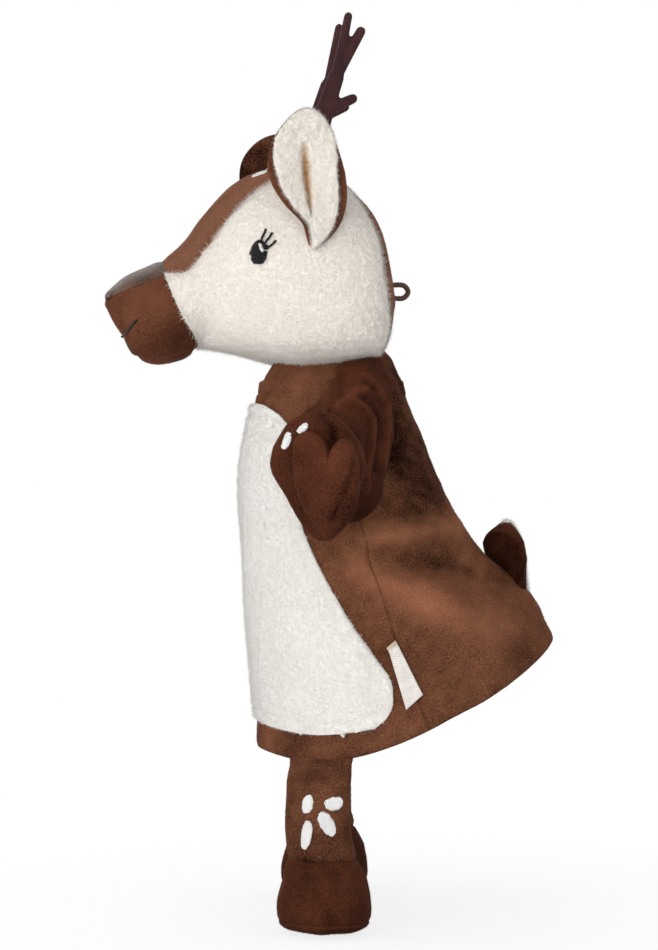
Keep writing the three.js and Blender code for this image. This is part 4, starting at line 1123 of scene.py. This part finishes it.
def add_head_panel(name, node, sheet, look, seed):
    slot, material, shades, nap, bumps = look
    sheet = Sheet(sheet.points, sheet.faces).rumple([(bumps, CURL_SIZE, seed), HEAD_BUMP]).placed(from_head)
    tone_and_shade = tone_and_shade_of(sheet, seed + 2, 0.46)
    cloth = piece(f"{name}_cloth", *sheet.thick(HEAD_CLOTH), material)
    store_tone_and_shade(cloth, tone_and_shade)
    is_sherpa = look is CHEEK
    shown = [cloth, pile(f"{name}_pile", sheet, shades, *nap, seed, None if is_sherpa else tone_and_shade)]
    if is_sherpa:
        away = sheet.border_distance()
        fringe = sheet.kept(lambda p: FRINGE_WIDTH - away)
        shown.append(pile(f"{name}_fringe", fringe, shades, *FRINGE_NAP, seed + 7))
    riding(shown, "head")
    stuffed_in_place_of(node)
    return sheet


def add_head():
    """The head's panels, cut from one form along their seams. Returns those that carry embroidery."""
    whole = head_sheet()
    whole.push(-HEAD_SEAM_DEPTH * bell(head_seams(whole.points), HEAD_SEAM_WIDTH))
    muzzle = whole.kept(muzzle_field)
    skull = whole.kept(lambda p: -muzzle_field(p))
    jaws = muzzle.kept(lambda p: -nose_field(p))
    lips = jaws.kept(lambda p: -chin_field(p))
    cheeks = skull.kept(lambda p: -strip_field(p))
    skins = {}
    for name, side, seed in (("left", -1, 31), ("right", 1, 41)):
        cheek, lip = (sheet.kept(lambda p: side * p[:, 1]) for sheet in (cheeks, lips))
        skins[name] = add_head_panel(f"{name}_cheek", f"head_{name}_side", cheek, CHEEK, seed)
        skins[f"{name}_lip"] = add_head_panel(f"{name}_muzzle", f"muzzle_{name}", lip, MUZZLE, seed + 4)
    skins["crown"] = add_head_panel("crown_strip", "crown_strip", skull.kept(strip_field), STRIP, 51)
    add_head_panel("chin", "chin_gusset", jaws.kept(chin_field), MUZZLE, 55)
    add_nose(muzzle.kept(nose_field).placed(from_head))
    return skins


def add_nose(sheet):
    made = piece("nose_patch", *sheet.thick(HEAD_CLOTH), NOSE_SUEDE)
    riding([made], "head")
    stuffed_in_place_of("nose_leather")


def add_stuffing():
    """What fills the head, and the cloth tube for the finger. Both show only through the neck."""
    fill = piece("stuffing", *soft_copy("head_stuffing", 1.6, 6).closed(), STUFFING)
    # The pocket takes the shaded velour: painted shade inside the neck.
    pocket = piece("pocket", *soft_copy("finger_pocket", 0.7, 3).closed(), SHADED_VELOUR)
    store_tone_and_shade(pocket, np.array([0.3]))
    for made, node, slot in ((fill, "head_stuffing", "stuffing"), (pocket, "finger_pocket", "lining")):
        riding([made], "head")
        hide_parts(node)


def add_antlers():
    for side in ("left", "right"):
        made = piece(f"{side}_antler_form", *soft_copy(f"{side}_antler", 0.6, 6).closed(), ANTLER_SUEDE)
        riding([made], "head")
        stuffed_in_place_of(f"{side}_antler")


# Ears

def ear_crease(u, across):
    """How deep a place on the ear's lining lies in its lens-shaped crease, from 0 to 1."""
    middle = -0.14 + 0.16 * (0.77 - u)
    lens = np.sqrt(np.maximum(1 - ((u - 0.5) / 0.28) ** 2, 0))
    return lens * bell(across - middle, 0.04 + 0.08 * lens)


def ear_sheet(inner, outer, margins, crease, is_far):
    """Both faces of one layer of the left ear in the head's frame, as a closed sheet, and its crease."""
    base = head_side(EAR_X, EAR_Z) - EAR_SEAT
    lean = math.radians(EAR_LEAN)
    square, length, rim_top = (5.0, 1.06 * EAR_LENGTH, 1.25) if is_far else (2.5, EAR_LENGTH, 0.8)
    us, turns = (1 - np.cos(np.linspace(0, np.pi, 76))) / 2, round_turns(110)

    def surface(u, turn):
        across, face = np.cos(turn), (1 + np.sin(turn)) / 2
        is_face = np.clip(np.sin(turn) * 3, 0, 1)
        swell = np.sin(np.pi * np.clip(u, 0, 1))
        ends = np.sqrt(np.maximum(1 - np.abs(2 * u - 1) ** square, 0))
        width = np.where(across < 0, along(EAR_FRONT_LINE, u), along(EAR_REAR_LINE, u))
        margin = np.where(across < 0, *margins) * np.clip((rim_top - u) / 0.25, 0, 1)
        half = 0.6 + ends * (width + margin - 0.6)
        plump = np.sqrt(np.maximum(1 - across ** 2, 0)) * swell ** 0.5
        lobes = crease * (plump - ear_crease(u, across))
        out = lerp(inner, outer, face) + EAR_CUP * across ** 2 * swell + is_face * lobes
        up = lerp(2.4, length, u)
        y = base + out * math.cos(lean) + up * math.sin(lean)
        x = EAR_X + half * across + 3.0 * (1 - u) ** 2
        return x, -y, EAR_Z + up * math.cos(lean) - out * math.sin(lean)

    sheet = grid(surface, us, turns, wrap=True, caps=True)
    u, turn = np.meshgrid(us, turns, indexing="ij")
    deep = ear_crease(u, np.cos(turn)) * (np.sin(turn) > 0)
    return sheet.facing_from(sheet.points.mean(0)), deep.ravel()


def add_ear(name, is_far, seed):
    def shown(sheet):
        return (sheet.mirrored() if is_far else sheet).placed(from_head)

    lining_start = EAR_BACK + GAP
    back, _ = ear_sheet(0, EAR_BACK + 0.8, (0.8, 2.6) if is_far else (1.3, 1.6), 0, is_far)
    lining, deep = ear_sheet(lining_start, lining_start + EAR_LINING, (-1.5, -1.8), EAR_CREASE, is_far)
    back, lining = shown(back), shown(lining.rumple(EAR_BUMPS))
    # The far ear's back is kept darker: painted shade.
    tone_and_shade = tone_and_shade_of(back, 63, -0.1 if is_far else 0.42)
    velvet = napped(f"{name}_ear_back_form", f"{name}_ear_nap", back, tone_and_shade, EAR_CLOTH, seed + 2)
    body = piece(f"{name}_ear_lining_form", *lining.closed(), EAR_SHERPA)
    # The crease takes the tan painted shade, on the lining and on its fibres.
    store_tone_and_shade(body, 1.1 * deep)
    curls = pile(f"{name}_ear_pile", lining, EAR_FIBRES, *SHERPA_NAP, seed, 0.4 + 0.8 * deep)
    for part, items, slot in (("back", velvet, "brown_velour"), ("lining", (body, curls), "cream_sherpa")):
        bending(items)
        stuffed_in_place_of(f"{name}_ear_{part}")


# Embroidery and the loop

def tube(points, radius, sides=6):
    """A round thread along points, as (points, faces), with closed ends."""
    path = np.asarray(points, float)
    heading = unit(np.gradient(path, axis=0))
    helper = np.array((0.31, 0.17, 0.93))
    across = unit(np.cross(heading, helper))
    above = np.cross(heading, across)
    turn = round_turns(sides)[:, None]
    ring = across[:, None] * np.cos(turn) + above[:, None] * np.sin(turn)
    size = np.broadcast_to(radius, len(path))[:, None, None]
    corners = (path[:, None] + ring * size).reshape(-1, 3)
    return corners, grid_faces(len(path), sides, wrap=True, caps=True)


def satin(tree, centre, long_way, cross_way, length, width, pitch=0.42, pad=0.2, slant=0.12):
    """A leaf of satin stitch on a surface: parallel threads from edge to edge, with uneven ends."""
    rng = np.random.default_rng(int(1000 * (length + 3 * width)))
    long_way, cross_way = (np.array(v, float) / np.linalg.norm(v) for v in (long_way, cross_way))
    threads = []
    for s in np.arange(-length / 2 + pitch, length / 2, pitch):
        half = width / 2 * math.sqrt(max(1 - abs(2 * s / length) ** 2.3, 0.02))
        shift = rng.uniform(-0.16, 0.16)
        line = []
        for v in np.linspace(-1, 1, 7):
            spot = np.array(centre) + long_way * (s + slant * half * v) + cross_way * (half * v + shift)
            line.append(on_surface(tree, spot, 0.2 + pad * (1 - v ** 2) ** 0.5))
        threads.append(tube(line, pitch * rng.uniform(0.5, 0.58)))
    return joined(threads)


def stitch_line(tree, path, lift, dash, gap):
    """Backstitch along a path on a surface."""
    path = np.asarray(path, float)
    steps = np.concatenate([[0], np.cumsum(np.linalg.norm(np.diff(path, axis=0), axis=1))])
    parts = []
    start = 0.0
    while start < steps[-1] - 0.5:
        spots = np.linspace(start, min(start + dash, steps[-1]), 5)
        line = np.stack([np.interp(spots, steps, path[:, i]) for i in range(3)], 1)
        rise = lift * np.array((0.2, 0.8, 1, 0.8, 0.2))
        parts.append(tube([on_surface(tree, p, r) for p, r in zip(line, rise)], STITCH_RADIUS))
        start += dash + gap
    return joined(parts)


def add_eye(name, side, skin):
    """An eye with its lashes, and the glint on it."""
    def face(place):
        return from_head(np.array((place[0], side * head_side(*place), place[1])))

    eye_place = np.array(EYE)
    up, back = HEAD_AXES @ (0.14, 0, 1), HEAD_AXES @ (1, 0, -0.14)
    oval = satin(skin, face(eye_place), up, back, EYE_SIZE[1], EYE_SIZE[0], 0.36, 1.2, 0.05)
    slanted, beside = HEAD_AXES @ (-0.5, 0, 1), HEAD_AXES @ (1, 0, 0.5)
    points, faces = satin(skin, face(eye_place + GLINT), slanted, beside, 3.4, 1.2, 0.3, 0.5, 0.2)
    points = points + side * HEAD_AXES @ (0, 1.6, 0)
    lashes = []
    for lash in LASHES:
        start, end = np.array(lash)
        line = [face(eye_place + lerp(start, end, k)) for k in np.linspace(0, 1, 6)]
        lashes.append(stitch_line(skin, line, 1.1, 1.3, 0.1))
    eye = piece(f"{name}_eye_stitches", *joined([oval, *lashes]), BLACK_THREAD)
    shine = piece(f"{name}_eye_glint", points, faces, WHITE_THREAD)
    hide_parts(f"{name}_eye")
    riding((eye, shine), "head")


def add_mouth(lip):
    """A dark stitched line on each side, from the front of the lip back and up."""
    start, end = np.array(MOUTH_STITCH)
    line = [seen_at(lip, *lerp(start, end, k)) for k in np.linspace(0, 1, 9)]
    left = Sheet(*stitch_line(lip, line, 0.45, 2.6, -0.1)).placed(to_head)
    for name, sheet in (("left", left), ("right", left.mirrored())):
        made = piece(f"{name}_mouth_stitches", *sheet.placed(from_head).closed(), BLACK_THREAD)
        riding([made], "head")


def add_forehead_marks(crown):
    """Two pale leaves of satin stitch each side of the brow."""
    parts = []
    for x, y, length, width in FOREHEAD_MARKS:
        for side in (1, -1):
            centre = from_head(np.array((x, side * y, CROWN)))
            long_way, cross_way = HEAD_AXES @ (1, -0.25 * side, 0), HEAD_AXES @ (0.25 * side, 1, 0)
            parts.append(satin(crown, centre, long_way, cross_way, length, width))
    made = piece("forehead_marks", *joined(parts), WHITE_THREAD)
    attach(made, "head")


def add_marks(name, body, sheet, leaves):
    """Pale leaves of satin stitch where the photo shows them on a left piece, mirrored for the right one."""
    tree = sheet.tree()
    parts = []
    for px, py, length, width, lean in leaves:
        turn = math.radians(lean)
        long_way, cross_way = (math.sin(turn), 0, math.cos(turn)), (math.cos(turn), 0, -math.sin(turn))
        parts.append(satin(tree, seen_at(tree, px, py), long_way, cross_way, length, width))
    left = Sheet(*joined(parts))
    shown = left if name == "left" else left.mirrored()
    made = piece(f"{name}_{body}_marks", *shown.closed(), WHITE_THREAD)
    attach(made, f"{name}_{body}")


def add_loop():
    """The elastic hanging loop at the nape."""
    count = 44
    steps = np.linspace(0, len(LOOP_LINE) - 1, count)
    xs = along([(i, SKULL_BACK + p[0]) for i, p in enumerate(LOOP_LINE)], steps)
    zs = along([(i, LOOP_Z + LOOP_HALF_HEIGHT * p[1]) for i, p in enumerate(LOOP_LINE)], steps)
    path = from_head(np.stack([xs, np.zeros(count), zs], 1))
    radius = 1.0 + 0.06 * np.sin(np.arange(count) * 2.2)
    made = piece("loop_cord", *tube(path, radius, 12), ELASTIC)
    riding([made], "head")
    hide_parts("hanging_loop")


# Arms

def sleeve_sheet(glove):
    """The left sleeve and its tone with painted light: sewn round the armhole, wrinkled, and tucked into the
    hoof.
    """
    tree = glove.tree()
    count, rows = 150, 64
    base = np.array([seen_at(tree, *pixel) for pixel in ring_of(ARMHOLE_RING, count)])
    lifted = np.array([on_surface(tree, spot, 1.0) for spot in base])
    out = unit(lifted - base)
    local = to_arm(base)
    turn = np.arctan2(local[:, 2], local[:, 1])
    end = np.stack([np.full(count, SLEEVE_END), WRIST_RADIUS * np.cos(turn), WRIST_RADIUS * np.sin(turn)], 1)
    wrist = from_arm(end)
    pull = lerp(base, wrist, 0.3) + SLEEVE_BOW * ARM_AXES[:, 0]
    points = []
    for u in np.linspace(0, 1, rows) ** 1.3:
        edge = 1.3 * (1 - math.exp(-u / 0.02)) - 0.3
        points.append(bent(base, pull, wrist, u) + (1 - u) * edge * out)
    sheet = Sheet(np.vstack(points), grid_faces(rows, count, wrap=True))
    sheet = sheet.facing_from(from_arm(np.array((10.0, 0, 0)))).rumple(SLEEVE_BUMPS)
    ridges = sum(near_line(sheet, line, RIDGE_WIDTH) for line in SLEEVE_RIDGES)
    pleats = sum(near_line(sheet, line, PLEAT_WIDTH) for line in SLEEVE_PLEATS)
    sheet.push(RIDGE_HEIGHT * ridges - PLEAT_DEPTH * pleats)
    # Painted highlights on its ridges and painted shade in its pleats.
    return sheet, tone_and_shade_of(sheet, 82, 0.18) + 0.35 * ridges - 0.2 * pleats


def hoof_sheet():
    """The left hoof and its tone with painted shade: a stuffed mitten that tapers under the heart, pleated
    over its notch.
    """
    sheet = stuffed(soft_copy("left_hoof", 1.5, 10))
    x, y, z = to_arm(sheet.points).T
    end = ramp(x, SLEEVE_LENGTH + 2, SLEEVE_LENGTH + 11)
    share = np.where(y < 0, 1.12 * along(HOOF_FRONT_TAPER, z), along(HOOF_REAR_TAPER, z))
    moved = np.stack([np.zeros(len(x)), (share - 1) * y, 0.28 * np.maximum(z, 0)], 1)
    sheet.points = sheet.points + (end[:, None] * moved) @ ARM_AXES.T
    pleat = near_line(sheet, HOOF_PLEAT, HOOF_PLEAT_WIDTH)
    sheet.push(0.3 * ripple(sheet.points, 13, 91) - HOOF_PLEAT_DEPTH * pleat)
    # Painted shade in the pleat.
    return sheet, tone_and_shade_of(sheet, 88, 0.3) - 0.3 * pleat


def heart_sheet():
    """The left hoof's heart and its tone with painted shade: its front lobe is higher, wider and sinks into
    the hoof.
    """
    sheet = stuffed(soft_copy("left_hoof_heart", 0.8, 12), -0.4, 3.0, 1.6)
    x, y, z = to_arm(sheet.points).T
    dome = ramp(x, SLEEVE_LENGTH + 26, SLEEVE_LENGTH + 29)
    sheet.push(0.15 * ripple(sheet.points, 7, 93) + 0.8 * dome)
    sunk = -0.17 * np.clip(6 - y, 0, 20) - 3.2 * ramp(x, SLEEVE_LENGTH + 27, SLEEVE_LENGTH + 25)
    raised = 0.4 * np.clip(4 - y, 0, 12) * np.clip(z / 8 + 0.4, 0, 1)
    moved = (1.4 - 0.27 * np.maximum(y - 2.4, 0)) * ramp(z, -16, -2)
    sheet.points = sheet.points + np.stack([sunk, moved, raised + 0.8], 1) @ ARM_AXES.T
    groove = near_line(sheet, HEART_GROOVE, GROOVE_WIDTH)
    sheet.push(-GROOVE_DEPTH * groove)
    # Painted shade in the groove.
    return sheet, tone_and_shade_of(sheet, 88, 0.34) - 0.2 * groove


def add_arm(name, side, sleeve, hoof, heart):
    """An arm from the left one's (sheet, tone and shade) forms, mirrored for the right side."""
    def shown(sheet):
        return sheet if side < 0 else sheet.mirrored()

    cloth, tone_and_shade = shown(sleeve[0]), sleeve[1]
    # Sleeves, hooves and hearts take the shaded velour: painted shade.
    items = napped(f"{name}_sleeve_cloth", f"{name}_sleeve_nap", cloth, tone_and_shade, SHADED_CLOTH, 83, SLEEVE_CLOTH)
    bending(items)
    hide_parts(f"{name}_sleeve")
    cloth.square_metres()
    for part, (form, tone_and_shade), seed in (("hoof", hoof, 85), ("hoof_heart", heart, 87)):
        items = napped(f"{name}_{part}_form", f"{name}_{part}_nap", shown(form), tone_and_shade, SHADED_CLOTH, seed)
        riding(items, f"{name}_hand")
        stuffed_in_place_of(f"{name}_{part}")


# Legs

def leg_sheet(rows):
    """A closed form from rows of height, half depth and half width in the left leg's frame."""
    shapes = np.array(rows, float).T
    places = np.linspace(0, 1, len(rows))
    count, fine = 72, 40

    def surface(k, turn):
        z, deep, wide = (along(np.stack([places, shape], 1), k) for shape in shapes)
        lean = TOE_REACH * ramp(z, -30, -45) - 0.3 * np.maximum(z + 4, 0)
        return lean + deep * np.cos(turn), wide * np.sin(turn), z

    sheet = grid(surface, np.linspace(0, 1, fine), round_turns(count), wrap=True)
    for start, order in ((0, 1), ((fine - 1) * count, -1)):
        tip = len(sheet.points)
        sheet.points = np.vstack([sheet.points, sheet.points[start:start + count].mean(0)])
        fan = [(start + k, start + (k + 1) % count, tip) for k in range(count)]
        sheet.faces += [face[::-1] if order > 0 else face for face in fan]
    axes = turned(180 + HIP_ANGLE)
    sheet = sheet.placed(lambda p: p @ axes.T + HIP)
    sheet.points[:, 0] += lerp(-1.5, 1.2, ramp(sheet.points[:, 2], HIP[2] - 22, HIP[2] - 38))
    return sheet.facing_from(sheet.points.mean(0))


def add_legs():
    forms = {part: stuffed(leg_sheet(rows), 0.5, 3.0, 1.2) for part, rows in LEG_ROWS.items()}
    for part, form in forms.items():
        form.rumple(LEG_BUMPS)
        # Boots and soles take the shaded velour: painted shade.
        look = SHIN_CLOTH if part == "shin" else SHADED_CLOTH
        for name, sheet, side in (("left", form, 1), ("right", form.mirrored(), -1)):
            tone_and_shade = tone_and_shade_of(sheet, 105, 0.2)
            items = napped(f"{name}_{part}_form", f"{name}_{part}_nap", sheet, tone_and_shade, look, 103)
            if part == "shin":
                bending(items)
            else:
                riding(items, f"{name}_leg")
            stuffed_in_place_of(f"{name}_{part}")
    for name in ("left", "right"):
        add_marks(name, "leg", forms["shin"], SHIN_MARKS)


# Tail

def tail_sheet(inner, outer, widen):
    """One layer of the tail as a closed sheet, its near edge turned to the back."""
    foot = np.array(glove_point(np.array(TAIL_AT), np.array(180.0))) + (TAIL_SHIFT, 0, 0)
    xs = (-0.3 * TAIL_ROOT, -0.65 * TAIL_CURL, -TAIL_CURL)
    zs = (-TAIL_ROOT, 0.9 * TAIL_RISE, TAIL_RISE)

    def surface(u, turn):
        across, face = np.cos(turn), (1 + np.sin(turn)) / 2
        x, z = bent(*xs, u), bent(*zs, u)
        dx, dz = (2 * lerp(line[1] - line[0], line[2] - line[1], u) for line in (xs, zs))
        size = np.hypot(dx, dz)
        half = widen * TAIL_HALF_WIDTH * (0.35 + 0.65 * np.sin(np.pi * (0.12 + 0.7 * u)))
        half = half * np.sqrt(np.clip((1.01 - u) / 0.4, 0, 1))
        near_end = np.sqrt(np.clip((1.03 - u) / 0.12, 0, 1))
        to_back = near_end * lerp(inner, outer, face) - TAIL_CUP * across ** 2 * np.sin(np.pi * u)
        twist = math.radians(TAIL_TWIST) * ramp(u, 0, 0.4)
        back, side = dz / size * to_back, half * across
        return (foot[0] + x + back * np.cos(twist) - side * np.sin(twist),
                back * np.sin(twist) + side * np.cos(twist), foot[2] + z - dx / size * to_back)

    sheet = grid(surface, np.linspace(0, 1, 60), round_turns(90), wrap=True, caps=True)
    return sheet.facing_from(sheet.points.mean(0))


def add_tail():
    """The brown inner layer, and the white one that shows as a rim round it."""
    for node, layer, material, slot, shades, nap, seed in (
            ("tail_top", (-3.4, 3.4, 1.0), SHADED_VELOUR, "brown_velour", SHADED_FIBRES, VELOUR_NAP, 111),
            ("tail_under", (1.6, 3.7, 0.62), WHITE_SHERPA, "white_sherpa", WHITE_FIBRES, TAIL_RIM_NAP, 113)):
        sheet = tail_sheet(*layer)
        body = piece(f"{node}_form", *sheet.closed(), material)
        # The brown layer's tone is kept very low: painted shade, with the shaded velour.
        tone_and_shade = tone_and_shade_of(sheet, 115, 0.06)
        store_tone_and_shade(body, tone_and_shade)
        fuzz = pile(f"{node}_pile", sheet, shades, *nap, seed, tone_and_shade if node == "tail_top" else None)
        bending((body, fuzz))
        stuffed_in_place_of(node)


# Studio

def add_camera():
    data = bpy.data.cameras.new("camera")
    data.lens = CAMERA_LENS
    data.sensor_width = 36
    camera = bpy.data.objects.new("camera", data)
    camera.location = CAMERA_PLACE
    camera.rotation_euler = (math.radians(90), 0, 0)
    bpy.context.scene.collection.objects.link(camera)
    bpy.context.scene.camera = camera


def add_light(name, place, target, size, watts):
    data = bpy.data.lights.new(name, "AREA")
    data.size = size
    data.energy = watts
    light = bpy.data.objects.new(name, data)
    light.location = place
    light.visible_camera = False
    light.rotation_euler = (Vector(target) - Vector(place)).to_track_quat("-Z", "Y").to_euler()
    bpy.context.scene.collection.objects.link(light)


def add_world():
    """Soft light from all round, with plain white where the camera sees it."""
    world = bpy.data.worlds.new("studio")
    bpy.context.scene.world = world
    world.use_nodes = True
    tree = world.node_tree
    soft = tree.nodes["Background"]
    soft.inputs["Color"].default_value = (1, 0.99, 0.98, 1)
    soft.inputs["Strength"].default_value = WORLD_LIGHT
    white = new_node(tree, "Background", {"Color": (1, 1, 1, 1)})
    seen = new_node(tree, "LightPath", {}).outputs["Is Camera Ray"]
    choice = new_node(tree, "MixShader", {0: seen, 1: soft.outputs[0], 2: white.outputs[0]})
    put(tree, tree.nodes["World Output"].inputs["Surface"], choice.outputs[0])


def add_floor():
    """A pale floor that keeps the shadow near the puppet and goes white further off."""
    corners = np.array([(-4, -4, 0), (4, -4, 0), (4, 4, 0), (-4, 4, 0)]) / MM
    finish = Finish("floor", Base_Color=linear(250, 250, 250), Roughness=1.0, Specular_IOR_Level=0.0)
    away = finish.node("VectorMath", {0: finish.place}, operation="LENGTH").outputs["Value"]
    glow = finish.spread(away, *FLOOR_FADE, FLOOR_GLOW)
    seen = finish.node("LightPath").outputs["Is Camera Ray"]
    share = finish.node("Math", {0: glow, 1: seen}, operation="MULTIPLY").outputs[0]
    white = finish.node("Emission").outputs[0]
    choice = finish.node("MixShader", {0: share, 1: finish.shader.outputs[0], 2: white}).outputs[0]
    put(finish.tree, finish.tree.nodes["Material Output"].inputs["Surface"], choice)
    made = piece("floor", corners, [(0, 1, 2, 3)], finish.material)
    made.location.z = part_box("left_sole")[0].z - FLOOR_DROP


add_camera()
for light in LIGHTS:
    add_light(*light)
add_world()
add_floor()
bpy.context.scene.view_settings.view_transform = "Standard"

glove_halves = {"front": glove_half(True), "back": glove_half(False)}
add_glove(glove_halves)
add_belly(glove_halves["front"])
collar_form = collar_sheet()
glove_form = whole_glove(glove_halves, collar_form)
add_label(glove_form)
add_collar(collar_form)
skins = add_head()
add_stuffing()
add_antlers()
add_ear("left", False, 71)
add_ear("right", True, 75)
add_eye("left", -1, skins["left"].tree())
add_eye("right", 1, skins["right"].tree())
add_mouth(skins["left_lip"].tree())
add_forehead_marks(skins["crown"].tree())
add_loop()
left_arm = (sleeve_sheet(glove_form), hoof_sheet(), heart_sheet())
for arm_name, arm_side in (("left", -1), ("right", 1)):
    add_arm(arm_name, arm_side, *left_arm)
    add_marks(arm_name, "hand", left_arm[1][0], HOOF_MARKS)
add_legs()
add_tail()
